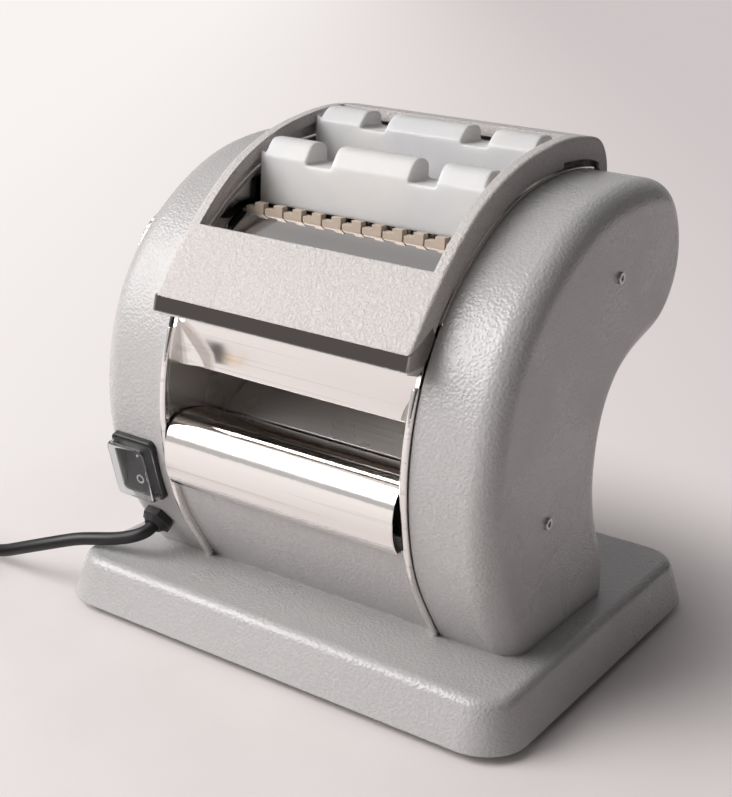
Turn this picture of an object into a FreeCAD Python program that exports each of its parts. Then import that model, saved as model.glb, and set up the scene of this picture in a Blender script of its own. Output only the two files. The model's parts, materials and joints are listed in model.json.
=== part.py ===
import FreeCAD, Part
import math
import os

# Electric countertop dough sheeter: three feed slots under a lifting hood, one pair of sheeting
# rollers and two pairs of cutters, a motor behind the delivery apron, and a gear train in the
# right casing.  X is to the right, Y to the back and Z up, in millimetres.  Shapes are drawn from
# the underside of the base shell; write() lifts them by the height of the feet, so that the
# finished part stands on z = 0 with its origin in the middle of the base.

V = FreeCAD.Vector
os.makedirs("parts", exist_ok=True)

# ---------------------------------------------------------------- driving dimensions
FOOT_H = 5.0
BASE_X = 304.0                # width at the foot of the sloping sides
BASE_Y = 247.5
BASE_H = 26.4
BASE_DRAFT = 8.5              # the sides lean in by this much from foot to top
BASE_CORNER_R = 27.0
BASE_EDGE_R = 6.5
BASE_WALL = 3.0
BASE_PLATE_T = 1.5
BASE_PLATE_UP = 0.8           # the bottom plate sits this far up inside the shell
FOOT_R = 11.0
FOOT_IN = 26.0                # foot centre from the sides of the base
BASE_SCREW_R = 2.0

PLATE_IN = 76.6               # inner face of a side plate
PLATE_T = 2.5
CASING_IN = 81.2              # open inner edge of a casing
CASING_OUT = 127.5
CASING_WALL = 2.0
CASING_EDGE_R = 14.0
CASING_PROFILE = [            # (y, z) round a casing, from the front foot over to the rear foot
    (-67.5, 26.4), (-84.0, 50.0), (-97.2, 73.0), (-106.2, 101.0), (-109.8, 128.0),
    (-107.8, 158.0), (-98.5, 188.0), (-80.0, 216.2), (-51.3, 240.5), (-17.0, 257.3),
    (20.0, 264.3), (57.2, 264.2), (84.0, 256.5), (100.5, 237.0), (105.5, 211.0),
    (90.0, 182.0), (56.0, 167.4), (29.5, 153.5), (18.0, 122.0), (24.0, 84.0),
    (41.0, 48.0), (44.5, 26.4)]
PLATE_INSET = 1.0             # side plate edge inside the casing's outline
SKIN_INSET = 1.5              # front and rear panels inside the casing's outline
SKIN_T = 1.2
TRIM_OUT = 80.6
TRIM_PROUD = 2.8
TRIM_TOP = 176.0
TRIM_R = 1.9
FLANGE_OUT = 82.5             # outward flange along the top of each side plate
FLANGE_T = 1.0
FLANGE_GAP = 0.3
FLANGE_Y = (-89.0, 68.0)
SIDE_FOOT = (8.0, 2.5)       # width and thickness of the inward foot of a side plate
SIDE_FOOT_Y = (-56.0, 36.0)
FRONT_PANEL_TOP = 95.0
REAR_PANEL_TOP = 241.0
VENT_W = 3.0
VENT_Z = (58.0, 88.0)
VENT_PITCH = 8.0
VENT_COUNT = 12

HOOD_OUT = 80.8
HOOD_T = 1.5
HOOD_EDGE_R = 2.0
HOOD_PROFILE = [(-114.7, 195.5), (-97.0, 218.6), (-77.0, 240.2), (-55.0, 257.6), (-37.0, 267.2),
                (-18.0, 274.3), (8.0, 279.9), (36.0, 282.8), (66.0, 281.0), (80.0, 277.0),
                (88.0, 268.4), (91.6, 257.0)]
HOOD_LIFT = 2.0               # side walls stop this far above the casing's outline
HOOD_REAR_Z = 240.0
HOOD_NOTCH = (-95.2, 205.8)   # where the side wall meets the polished cheek
WINDOW_X = 74.0
WINDOW_Y = (-86.3, 46.0)
WINDOW_RIM = 5.2
RELIEF_Y = (33.0, 78.0)       # raised stretch of the side wall over the hinge
RELIEF_H = 3.0
HINGE = (80.0, 247.0)
HINGE_PIN_R = 2.5
HINGE_EYE_R = 7.0
HINGE_CORNER_R = 11.0         # side plate left round the hinge, clear of the hood's sweep
LUG_X = (74.2, 76.0)
BAND_FOOT = [(-116.7, 186.6), (-106.5, 183.5), (-102.2, 185.5), (-92.6, 199.6)]
BAND_T = 1.2

SHROUD = [(-93.2, 152.6), (-97.1, 167.8), (-101.0, 183.0), (-101.6, 190.5), (-98.5, 198.0),
          (-90.0, 206.0), (-75.0, 217.0), (-62.0, 226.4), (-50.6, 232.6)]
WING_W = 15.0
WING_OUT = 3.5
APRON_T = 1.0
APRON_FOOT = -101.15          # y where the apron's flange meets the front panel
APRON_NOSE = [(-107.5, 86.6), (-113.0, 97.5), (-113.8, 106.5), (-110.9, 118.7), (-106.7, 123.4),
              (-99.2, 126.1), (-88.1, 125.7), (-77.6, 123.2)]
APRON_TAIL = (-62.0, 116.4)
APRON_X = 75.0
SLIDE = [(72.0, 182.0), (-60.0, 117.4)]

SHEET_REAR = (5.4, 188.0)     # axis of the fixed sheeting roller
SHEET_R = 14.5
SHEET_MODULE = 1.4
SHEET_TEETH = 21
ROLLER_HALF = 74.5
JOURNAL_R = 6.0
CUTTER_R = 11.0
CUTTER_GROOVE_R = 9.3
CUTTER_HALF = 74.0
CUTTER_JOURNAL_R = 5.0
CUTTER_TEETH = 15
CUTTER_MODULE = 1.4
WIDE_PITCH = 13.0
NARROW_PITCH = 4.0
RIDGE_PLAY = 0.2              # side play between interleaved ridges
MAIN_TEETH = 40
WIDE_TEETH = 22
NARROW_TEETH = 20
PINION_TEETH = 12
MAIN_MODULE = 1.5
WIDE_REAR_Y = -31.5
NARROW_FRONT_Y = 33.5
PINION_Y = -22.0
PRESSURE = math.radians(25.0)
BACKLASH = 0.10               # share of a half tooth taken off for play
SHEET_GEAR_X = (82.0, 87.0)
CUTTER_GEAR_X = (88.0, 93.0)
MAIN_GEAR_X = (94.5, 100.5)
GEAR_PLATE_X = (101.5, 103.5)
GEAR_PLATE = [(-56.0, 146.0), (-58.0, 196.0), (-40.0, 234.0), (0.0, 246.0), (46.0, 240.0),
              (62.0, 206.0), (58.0, 186.0), (13.0, 143.0)]
GEAR_POSTS = [(-50.0, 190.0), (1.0, 238.0), (52.0, 192.0), (8.0, 148.0), (-48.0, 152.0)]
GEAR_POST_R = 4.0
PULLEY_X = (105.0, 113.0)
DRIVEN_PULLEY_R = 35.0
MOTOR_PULLEY_R = 7.0
PULLEY_LIP = 1.6
BELT_T = 1.6
BELT_GAP = 0.3
MOTOR = (-18.0, 82.0)
MOTOR_R = 33.0
MOTOR_X = (-28.0, 76.6)
MOTOR_SHAFT_R = 4.0
BUSH_WALL = 2.5
BUSH_FLANGE = 1.5
RUN_PLAY = 0.05               # radial play of a shaft in its bush
AXLE_LEFT = -82.0

CARRIAGE_TRAVEL = 2.5
CARRIAGE_H = 20.4
CARRIAGE_PLAY = 0.3
CAM_X = (-91.0, -86.0)
CAM_R = 12.0
CAM_TURN = 150.0              # degrees of the knob over the whole travel
CAM_PIN_R = 3.0
CAM_GAP = 0.3
KNOB_X = (-149.5, -128.2)
KNOB_R = 32.0
KNOB_RIM_W = 11.0
KNOB_HUB_R = 23.0
KNOB_NOTCHES = 36
KNOB_NOTCH_R = 1.8
KNOB_NOTCH_DEPTH = 0.6
KNOB_EDGE_R = 2.0
KNOB_GRIP = 4.0               # the spindle starts this far inside the knob's face
POINTER_W = 2.0
POINTER_RISE = 0.6
CAM_SHAFT_R = 5.0

GUARD_X = 73.2
GUARD_T = 2.0
FRONT_GUARD = (-35.5, -13.0, 235.2, 260.3, 11.5)   # y from and to, underside, floor, lobe height
REAR_GUARD = (16.5, 41.0, 250.0, 275.0, 9.0)
GUARD_LOBES = [(-70.0, -42.0), (-25.0, 25.0), (42.0, 70.0)]
GUARD_REST = 0.3
GUIDE_T = 2.0
COMB_FACE_Y = -50.0
COMB_BACK_Y = -45.5
COMB_Z = (228.4, 236.0, 238.6)
COMB_GAP = 1.0
COMB_CLEAR = 1.0              # stripper comb's bar from the cutter's ridges
COMB_BAR_W = 3.0
COMB_BAR_H = 5.8
COMB_FINGER_DROP = 1.7        # underside of the fingers below the ridges

SCREW_SPOTS = [(15.3, 218.1), (-45.5, 97.9)]
PILLAR_R = 5.0
SCREW_R = 2.0
SCREW_HEAD_R = 3.3
SCREW_HEAD_H = 1.6
SOCKET_R = 1.6
TIE_RODS = [(-82.0, 190.0), (70.0, 240.0), (84.0, 200.0), (-60.0, 38.0), (18.0, 42.0)]
TIE_ROD_R = 5.0
GUIDE_TOP = 262.0             # highest point of the clear side guides

SWITCH_AT = (-103.2, -101.9, 88.0)
SWITCH_W = 31.5
SWITCH_H = 40.0
SWITCH_TILT = 106.9           # degrees about X from upright to facing out of the casing
SWITCH_PROUD = 3.2
SWITCH_DEPTH = 22.0
ROCKER_W = 21.4
ROCKER_H = 29.4
ROCKER_ANGLE = 7.0
ROCKER_PIN_R = 1.5
ROCKER_PIN_L = 1.6
COVER_RISE = 6.5
COVER_T = 0.8
GLAND_AT = (-105.0, -83.8, 49.1)
GLAND_TILT = 122.7
GLAND_R = 10.0
GLAND_OUT = 8.0
GLAND_NUT_T = 4.5
GLAND_IN = 11.0
CAPACITOR = (-57.0, -40.0, 11.0, 52.0)   # x, y, radius, height

CORD_R = 3.9
CORD_LENGTH = 1430.0
CORD_ROUTE = [                # hand-laid route, from inside the gland to the coil
    (-105.0, -88.55, 46.06), (-105.0, -92.5, 43.5), (-108.0, -97.6, 41.2), (-115.0, -100.3, 38.1),
    (-126.0, -101.8, 34.4), (-137.5, -103.8, 31.9), (-150.0, -107.4, 29.4), (-164.0, -111.2, 24.4),
    (-179.0, -113.8, 18.6), (-194.0, -114.2, 12.2), (-209.5, -112.5, 5.2), (-225.5, -108.6, 0.2),
    (-241.0, -105.3, -1.05), (-257.2, -102.1, -1.05)]
COIL_AT = (-267.0, -152.0)
COIL_R = 43.0                 # radius of the middle of the turns
COIL_ROWS = 3
PLUG_ANGLE = 272.0
PLUG_BOOT = 20.0
PLUG_BODY = (36.0, 26.0, 26.0)


# ---------------------------------------------------------------- drawing helpers
def box(x, y, z):
    """Block between the pairs x, y and z."""
    return Part.makeBox(x[1] - x[0], y[1] - y[0], z[1] - z[0], V(x[0], y[0], z[0]))


def rod(x, at, r):
    """Cylinder along X between the pair x, centred on at = (y, z)."""
    return Part.makeCylinder(r, x[1] - x[0], V(x[0], at[0], at[1]), V(1, 0, 0))


def post(at, z, r):
    """Cylinder along Z between the pair z, centred on at = (x, y)."""
    return Part.makeCylinder(r, z[1] - z[0], V(at[0], at[1], z[0]), V(0, 0, 1))


def fuse(shapes):
    """One shape from many."""
    first = shapes[0]
    if len(shapes) > 1:
        first = first.fuse(shapes[1:])
    return first.removeSplitter()


def mirrored(shape):
    """The same shape on the other side."""
    return shape.mirror(V(0, 0, 0), V(1, 0, 0))


def both_sides(shape):
    """A shape and its mirror image."""
    return Part.makeCompound([shape, mirrored(shape)])


def edge(points):
    """Straight edge through two (y, z) points, or a smooth one through more."""
    places = [V(0, y, z) for y, z in points]
    if len(places) == 2:
        return Part.makeLine(places[0], places[1])
    curve = Part.BSplineCurve()
    curve.interpolate(places)
    return curve.toShape()


def path(*runs):
    """Wire in the YZ plane from runs of (y, z) points that meet end to end."""
    return Part.Wire([edge(run) for run in runs])


def polygon(points):
    """Closed wire of straight edges in the YZ plane."""
    return Part.makePolygon([V(0, y, z) for y, z in points + points[:1]])


def slab(wire, x):
    """Solid with the closed outline wire, between the pair x."""
    face = Part.Face(wire)
    face.translate(V(x[0], 0, 0))
    return face.extrude(V(x[1] - x[0], 0, 0))


def bent(points, thickness, x):
    """Sheet between the pair x, from the curve through points to the same curve moved to its left."""
    far = shifted(points, thickness, 2 * len(points))
    if len(points) == 2:
        far = [far[0], far[-1]]
    outer = path(points, [points[-1], far[-1]], far[::-1], [far[0], points[0]])
    return slab(outer, x)


def span(half):
    """Pair from -half to half."""
    return (-half, half)


def meets(a, b, distance, sign=1):
    """Height at which an axis at y = b lies the given distance from the axis a."""
    return a[1] + sign * math.sqrt(distance ** 2 - (b - a[0]) ** 2)


def write(name, shape):
    """Lift a finished shape onto its feet and write it."""
    lifted = shape.copy()
    lifted.translate(V(0, 0, FOOT_H))
    lifted.exportStep("parts/" + name + ".step")
    print(name, "solids", len(lifted.Solids), "valid", lifted.isValid(), "volume", round(lifted.Volume))


# ---------------------------------------------------------------- axes worked out from the gears
SHEET_GAP = SHEET_TEETH * SHEET_MODULE
SHEET_FRONT = (SHEET_REAR[0] - SHEET_GAP, SHEET_REAR[1])
CUTTER_GAP = CUTTER_TEETH * CUTTER_MODULE
WIDE_REAR = (WIDE_REAR_Y, meets(SHEET_REAR, WIDE_REAR_Y, (MAIN_TEETH + WIDE_TEETH) * MAIN_MODULE / 2))
WIDE_FRONT = (WIDE_REAR[0] - CUTTER_GAP, WIDE_REAR[1])
NARROW_FRONT = (NARROW_FRONT_Y,
                meets(SHEET_REAR, NARROW_FRONT_Y, (MAIN_TEETH + NARROW_TEETH) * MAIN_MODULE / 2))
NARROW_REAR = (NARROW_FRONT[0] + CUTTER_GAP, NARROW_FRONT[1])
PINION = (PINION_Y, meets(SHEET_REAR, PINION_Y, (MAIN_TEETH + PINION_TEETH) * MAIN_MODULE / 2, -1))
PLATE_OUT = PLATE_IN + PLATE_T
DECK = BASE_H


# ---------------------------------------------------------------- base
def base_ring(inset, z):
    """Rounded rectangle round the base at height z, inset all round."""
    lean = inset + BASE_DRAFT * z / BASE_H
    x, y, r = BASE_X / 2 - lean, BASE_Y / 2 - lean, BASE_CORNER_R - lean
    edges = []
    for turn, a, b in ((0, x, y), (90, y, x), (180, x, y), (270, y, x)):
        corner = V(a - r, b - r, z)
        arc = Part.Arc(corner + V(r, 0, 0), corner + V(r, r, 0) * math.sqrt(0.5),
                       corner + V(0, r, 0)).toShape()
        side = Part.makeLine(corner + V(0, r, 0), V(r - a, b, z))
        for piece in (arc, side):
            piece.rotate(V(0, 0, 0), V(0, 0, 1), turn)
            edges.append(piece)
    return Part.Wire(edges)


def rounded_block(inset, z, edge_r):
    """Base-shaped block with sloping sides, inset all round, its corners and top edge rounded."""
    block = Part.makeLoft([base_ring(inset, z[0]), base_ring(inset, z[1])], True, True)
    if edge_r > 0:
        top = [e for e in block.Edges if e.BoundBox.ZMin > z[1] - 0.01]
        block = block.makeFillet(edge_r, top)
    return block


def foot_spots():
    """Places of the four feet."""
    x = BASE_X / 2 - FOOT_IN
    y = BASE_Y / 2 - FOOT_IN
    return [(-x, -y), (x, -y), (-x, y), (x, y)]


def base_shell():
    shell = rounded_block(0.0, (0.0, BASE_H), BASE_EDGE_R)
    cavity = rounded_block(BASE_WALL, (-1.0, BASE_H - BASE_WALL), BASE_EDGE_R - BASE_WALL)
    shell = shell.cut(cavity)
    floor = BASE_PLATE_UP + BASE_PLATE_T
    bosses = [post(at, (floor, BASE_H - BASE_WALL), 3 * BASE_SCREW_R) for at in foot_spots()]
    holes = [post(at, (floor - 1, BASE_H - 2 * BASE_WALL), BASE_SCREW_R) for at in foot_spots()]
    holes.append(post((-CASING_OUT + 25.0, 0.0), (0.0, BASE_H + 1), 8.0))
    return shell.fuse(bosses).cut(Part.makeCompound(holes)).removeSplitter()


def base_plate():
    plate = rounded_block(BASE_WALL + 0.3, (BASE_PLATE_UP, BASE_PLATE_UP + BASE_PLATE_T), 0.0)
    holes = [post(at, (0.0, 10.0), BASE_SCREW_R) for at in foot_spots()]
    return plate.cut(Part.makeCompound(holes))


def rubber_feet():
    feet = []
    for at in foot_spots():
        foot = Part.makeCone(FOOT_R - 2, FOOT_R, FOOT_H + BASE_PLATE_UP, V(at[0], at[1], -FOOT_H))
        recess = post(at, (-FOOT_H, -FOOT_H + 3.0), 2 * BASE_SCREW_R + 0.5)
        feet.append(foot.cut(recess).cut(post(at, (-FOOT_H, 10.0), BASE_SCREW_R)))
    return Part.makeCompound(feet)


def base_screws():
    screws = []
    for at in foot_spots():
        head = post(at, (-FOOT_H + 0.6, -FOOT_H + 3.0), 2 * BASE_SCREW_R)
        slot = box((at[0] - 3.0, at[0] + 3.0), (at[1] - 0.5, at[1] + 0.5), (-FOOT_H, -FOOT_H + 1.4))
        shank = post(at, (-FOOT_H + 3.0, BASE_H - 2 * BASE_WALL - 1.0), BASE_SCREW_R)
        screws.append(head.cut(slot).fuse(shank))
    return Part.makeCompound(screws)


# ---------------------------------------------------------------- casings and side plates
def shifted(points, offset, count=45):
    """Points along the smooth curve through points, moved out to its left by the offset."""
    curve = Part.BSplineCurve()
    curve.interpolate([V(0, y, z) for y, z in points])
    first, last = curve.FirstParameter, curve.LastParameter
    moved = []
    for i in range(count + 1):
        at = first + (last - first) * i / count
        place = curve.value(at)
        along = curve.tangent(at)[0]
        moved.append((place.y - along.z * offset, place.z + along.y * offset))
    return moved


def closed_below(points, low):
    """Outline of a curve whose two ends run straight down to the height low."""
    front, rear = points[0], points[-1]
    return path(points, [rear, (rear[0], low)], [(rear[0], low), (front[0], low)], [(front[0], low), front])


def outline(offset):
    """Closed casing outline, moved outwards by the offset; it closes under the deck."""
    points = CASING_PROFILE if abs(offset) < 0.001 else shifted(CASING_PROFILE, offset)
    return closed_below(points, DECK - 12.0)


def band(inner, outer, x):
    """Everything between two offsets of the casing outline, above the deck."""
    ring = slab(outline(outer), x).cut(slab(outline(inner), (x[0] - 1, x[1] + 1)))
    return ring.common(box((x[0] - 1, x[1] + 1), (-200.0, 200.0), (DECK, 400.0)))


def above_deck(shape):
    return shape.common(box(span(200.0), span(200.0), (DECK, 400.0)))


def rounded_casing(inset, x, edge_r):
    """Casing-shaped block with its outer edge rounded, between the pair x."""
    block = slab(outline(-inset), x)
    outer = [e for e in block.Edges if e.BoundBox.XMin > x[1] - 0.01 and e.BoundBox.ZLength > 5.0]
    return block.makeFillet(edge_r, outer)


def casing():
    """Right casing: a hollow cover, open towards its side plate."""
    body = above_deck(rounded_casing(0.0, (CASING_IN, CASING_OUT), CASING_EDGE_R))
    cavity = rounded_casing(CASING_WALL, (CASING_IN - 1, CASING_OUT - CASING_WALL),
                            CASING_EDGE_R - CASING_WALL)
    floor = box(span(200.0), span(200.0), (DECK + CASING_WALL, 400.0))
    body = body.cut(cavity.common(floor))
    for at in SCREW_SPOTS:
        body = body.cut(rod((CASING_IN, CASING_OUT + 1), at, SCREW_R))
    return body


def side_plate():
    """Right side plate, with its top flange, foot and holes."""
    x = (PLATE_IN, PLATE_OUT)
    plate = above_deck(slab(outline(-PLATE_INSET), x))
    top = box((0.0, 200.0), FLANGE_Y, (150.0, 400.0))
    lip = FLANGE_GAP + FLANGE_T
    rise = band(-PLATE_INSET - 1.0, lip, x).common(top)
    flange = band(FLANGE_GAP, lip, (PLATE_IN, FLANGE_OUT)).common(top)
    above = box((0.0, 200.0), FLANGE_Y, (DECK + 150.0, 400.0))
    foot = box((PLATE_IN - SIDE_FOOT[0], PLATE_IN), SIDE_FOOT_Y, (DECK, DECK + SIDE_FOOT[1]))
    plate = plate.fuse([rise.common(above), flange.common(above), foot])
    holes = [rod((PLATE_IN - 1, PLATE_OUT + 1), at, r) for at, r in fixed_axes()]
    holes.append(rod((PLATE_IN - 1, PLATE_OUT + 1), HINGE, HINGE_PIN_R))
    holes.append(carriage_window())
    holes.append(hood_sweep())
    return plate.cut(Part.makeCompound(holes)).removeSplitter()


def hood_sweep():
    """Corner off a side plate, where the rear of the hood swings down past it."""
    x = (PLATE_IN - 1, PLATE_OUT + 1)
    corner = box(x, (HINGE[0], BASE_Y / 2), (HINGE[1] - HINGE_CORNER_R, HINGE[1] + BASE_Y))
    return corner.cut(rod(x, HINGE, HINGE_CORNER_R))


def fixed_axes():
    """Axis and bush radius of every shaft that turns in the side plates."""
    cutters = [(at, CUTTER_JOURNAL_R + BUSH_WALL)
               for at in (WIDE_FRONT, WIDE_REAR, NARROW_FRONT, NARROW_REAR)]
    return cutters + [(SHEET_REAR, JOURNAL_R + BUSH_WALL)]


def carriage_window():
    """Slot in a side plate in which the bearing block of the front sheeting roller slides."""
    half = CARRIAGE_H / 2 + CARRIAGE_PLAY
    y = (SHEET_FRONT[0] - 13.0, SHEET_FRONT[0] + 12.0)
    return box((PLATE_IN - 1, PLATE_OUT + 1), y, (SHEET_FRONT[1] - half, SHEET_FRONT[1] + half))


def edge_trim():
    """Rounded bright strip over the front edge of the right side plate."""
    strip = band(-PLATE_INSET, TRIM_PROUD, (PLATE_IN, TRIM_OUT))
    strip = strip.common(box((0.0, 200.0), (-200.0, 0.0), (DECK, TRIM_TOP)))
    long_edges = [e for e in strip.Edges if e.Length > 100 and e.BoundBox.YMin < -110.0]
    return strip.makeFillet(TRIM_R, long_edges)


def front_panel():
    x = span(PLATE_IN)
    panel = band(-SKIN_INSET - SKIN_T, -SKIN_INSET, x)
    return panel.common(box(x, (-200.0, 0.0), (DECK, FRONT_PANEL_TOP)))


def rear_panel():
    x = span(PLATE_IN)
    panel = band(-SKIN_INSET - SKIN_T, -SKIN_INSET, x)
    panel = panel.common(box(x, (0.0, 200.0), (DECK, REAR_PANEL_TOP)))
    first = -VENT_PITCH * (VENT_COUNT - 1) / 2
    slots = [box((first + i * VENT_PITCH - VENT_W / 2, first + i * VENT_PITCH + VENT_W / 2),
                 (0.0, 60.0), VENT_Z) for i in range(VENT_COUNT)]
    return panel.cut(Part.makeCompound(slots))


def tie_rods():
    return Part.makeCompound([rod(span(PLATE_IN), at, TIE_ROD_R) for at in TIE_RODS])


def standoffs():
    """Posts that carry the casings and the gear plate."""
    bore = rod((-CASING_OUT, CASING_OUT), (0.0, 0.0), SCREW_R)
    inner = CASING_OUT - CASING_WALL
    posts = []
    for number, at in enumerate(SCREW_SPOTS):
        start = GEAR_PLATE_X[1] if number == 0 else PLATE_OUT
        right = rod((start, inner), at, PILLAR_R)
        left = rod((-inner, -PLATE_OUT), at, PILLAR_R)
        hole = bore.copy()
        hole.translate(V(0, at[0], at[1]))
        posts += [right.cut(hole), left.cut(hole)]
    posts += [rod((PLATE_OUT, GEAR_PLATE_X[0]), at, GEAR_POST_R) for at in GEAR_POSTS]
    return Part.makeCompound(posts)


def casing_screws():
    screws = []
    for at in SCREW_SPOTS:
        head = rod((CASING_OUT, CASING_OUT + SCREW_HEAD_H), at, SCREW_HEAD_R)
        head = head.cut(rod((CASING_OUT + SCREW_HEAD_H / 3, CASING_OUT + SCREW_HEAD_H + 1), at, SOCKET_R))
        screws.append(head.fuse(rod((CASING_OUT - 14.0, CASING_OUT), at, SCREW_R)))
    return both_sides(Part.makeCompound(screws))


# ---------------------------------------------------------------- polished sheets
def delivery_apron():
    """Polished front apron, standing on a flange against the front panel."""
    foot, nose = APRON_FOOT, APRON_NOSE
    flange = box(span(APRON_X), (nose[0][0], foot), (nose[0][1], nose[0][1] + APRON_T))
    skin = bent(nose + [APRON_TAIL], -APRON_T, span(APRON_X))
    tail = bent([nose[-1], APRON_TAIL], -APRON_T, span(PLATE_IN))
    return fuse([flange, skin, tail])


def delivery_slide():
    return bent(SLIDE, SKIN_T, span(PLATE_IN))


def front_shroud():
    """Polished sheet over the rollers, with a flared corner at each lower end."""
    x = span(PLATE_IN)
    sheet = bent(SHROUD, -SKIN_T, x)
    sink = SKIN_T / 2
    low, high = SHROUD[0], SHROUD[2]
    root = V(PLATE_IN, low[0] + sink, low[1] + sink)
    corner = V(PLATE_IN, high[0] + sink, high[1])
    outer = root - V(0, WING_OUT + sink, 0)
    inner = root - V(WING_W, 0, 0)
    faces = [Part.Face(Part.makePolygon([a, b, c, a])) for a, b, c in
             [(corner, outer, inner), (corner, inner, root), (corner, root, outer), (outer, root, inner)]]
    wing = Part.Solid(Part.Shell(faces))
    return fuse([sheet, wing, mirrored(wing)])


# ---------------------------------------------------------------- hood
def hood_region(offset):
    """Closed hood outline, carried far down; its lower part is cut away afterwards."""
    points = HOOD_PROFILE if abs(offset) < 0.001 else shifted(HOOD_PROFILE, offset)
    return closed_below(points, 150.0)


def hood():
    block = slab(hood_region(0.0), span(HOOD_OUT))
    arches = [e for e in block.Edges if e.Length > 250.0 and e.BoundBox.XLength < 0.1]
    block = block.makeFillet(HOOD_EDGE_R, arches)
    shell = block.cut(slab(hood_region(-HOOD_T), span(HOOD_OUT - HOOD_T)))
    frame = box(span(WINDOW_X + HOOD_T), (WINDOW_Y[0] - HOOD_T, WINDOW_Y[1] + HOOD_T), (200.0, 300.0))
    rim = block.cut(slab(hood_region(-HOOD_T - WINDOW_RIM), span(HOOD_OUT))).common(frame)
    lug = hinge_lug(block)
    shell = shell.fuse([rim, lug, mirrored(lug)])
    wide = span(HOOD_OUT + 1)
    wall = (PLATE_IN - 0.3, HOOD_OUT + 1)
    casing_clear = slab(outline(HOOD_LIFT), wall)
    relief = slab(outline(HOOD_LIFT + RELIEF_H), wall).common(box(wide, RELIEF_Y, (150.0, 400.0)))
    front = HOOD_PROFILE[0]
    wedge = slab(polygon([(front[0] - 10, front[1] - 30), front, HOOD_NOTCH, (-91.6, 199.6),
                          (-85.0, 180.0)]), wall)
    cuts = [box(wide, (-130.0, 60.0), (140.0, front[1])), box(wide, (60.0, 110.0), (140.0, HOOD_REAR_Z)),
            box(span(WINDOW_X), WINDOW_Y, (200.0, 300.0)), rod(wide, HINGE, HINGE_PIN_R + RUN_PLAY)]
    for piece in (casing_clear, relief, wedge):
        cuts += [piece, mirrored(piece)]
    for cut in cuts:
        shell = shell.cut(cut)
    return shell.removeSplitter()


def hinge_lug(block):
    """Ear under the rear of the hood with the eye for the hinge pin."""
    y, z = HINGE
    blade = slab(polygon([(y - HINGE_EYE_R, z), (y + HINGE_EYE_R, z), (y + 14.0, z + 20.0),
                          (y + 8.0, z + 40.0), (y - 8.0, z + 40.0)]), LUG_X)
    return blade.common(block).fuse(rod(LUG_X, HINGE, HINGE_EYE_R))


def hood_band():
    """Polished band under the hood's front edge, with its two cheeks."""
    front = (HOOD_PROFILE[0][0], HOOD_PROFILE[0][1] - 0.1)
    strip = fuse([bent([front, BAND_FOOT[0]], BAND_T, span(HOOD_OUT)),
                  bent(BAND_FOOT[:2], BAND_T, span(HOOD_OUT))])
    notch = (HOOD_NOTCH[0], HOOD_NOTCH[1] - 0.2)
    cheek = slab(polygon([front] + BAND_FOOT + [notch]), (HOOD_OUT - HOOD_T, HOOD_OUT))
    corner = [e for e in cheek.Edges if e.BoundBox.XLength > 1.0 and e.BoundBox.ZMax < BAND_FOOT[2][1] + 0.1]
    corner = [e for e in corner if e.BoundBox.YMin > BAND_FOOT[1][0] - 0.1]
    cheek = cheek.makeFillet(2.5, corner)
    inner = HOOD_T + 0.05
    tab = slab(polygon([(front[0] + inner * 0.79, front[1] - inner * 0.61),
                        (front[0] + inner * 0.79 + 4.9, front[1] - inner * 0.61 + 6.3),
                        (front[0] + inner * 0.79 + 5.9, front[1] - inner * 0.61 + 5.5),
                        (front[0] + inner * 0.79 + 0.6, front[1] - inner * 0.61 - 3.0),
                        (front[0], front[1] - 3.0), (front[0] + 0.1, front[1] - 0.1)]),
               span(HOOD_OUT - HOOD_T))
    return fuse([strip, cheek, mirrored(cheek), tab])


def hinge_pins():
    head = rod((LUG_X[0] - 1.7, LUG_X[0] - 0.2), HINGE, HINGE_PIN_R + 1.5)
    pin = head.fuse(rod((LUG_X[0] - 0.2, PLATE_OUT), HINGE, HINGE_PIN_R))
    return both_sides(pin)


# ---------------------------------------------------------------- guards, guides and combs
def lobe(y, floor, height, inset):
    """Rounded hump profile over a guard, with its wall inset."""
    y0 = y[0] + inset
    depth = y[1] - 1.3 - inset - y0
    rise = height - inset
    crown = [(0.0, 0.20), (0.19, 0.70), (0.31, 0.92), (0.62, 1.0), (0.90, 0.85), (1.0, 0.54)]
    points = [(y0 + a * depth, floor + b * rise) for a, b in crown]
    low = floor - GUARD_T - 0.5 * inset
    return path(points, [points[-1], (points[-1][0], low)], [(points[-1][0], low), (y0, low)],
                [(y0, low), points[0]])


def feed_guard(size):
    y0, y1, under, floor, height = size
    body = box(span(GUARD_X), (y0, y1), (under, floor))
    hollow = box(span(GUARD_X - GUARD_T), (y0 + GUARD_T, y1 - GUARD_T), (under - 1, floor - GUARD_T))
    humps = [slab(lobe((y0, y1), floor, height, 0.0), x) for x in GUARD_LOBES]
    inside = [slab(lobe((y0, y1), floor, height, GUARD_T), (x[0] + GUARD_T, x[1] - GUARD_T))
              for x in GUARD_LOBES]
    horn = slab(polygon([(y0, floor - 1), (y0, floor + 2.2), (y0 + 0.8, floor + 5.2),
                         (y0 + 3.0, floor + 1.8), (y1 - 1.3, floor + 1.4), (y1 - 1.3, floor - 1)]),
                (GUARD_X - GUARD_T, GUARD_X))
    body = body.fuse(humps + [horn, mirrored(horn)])
    return body.cut(Part.makeCompound([hollow])).cut(Part.makeCompound(inside)).removeSplitter()


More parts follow.
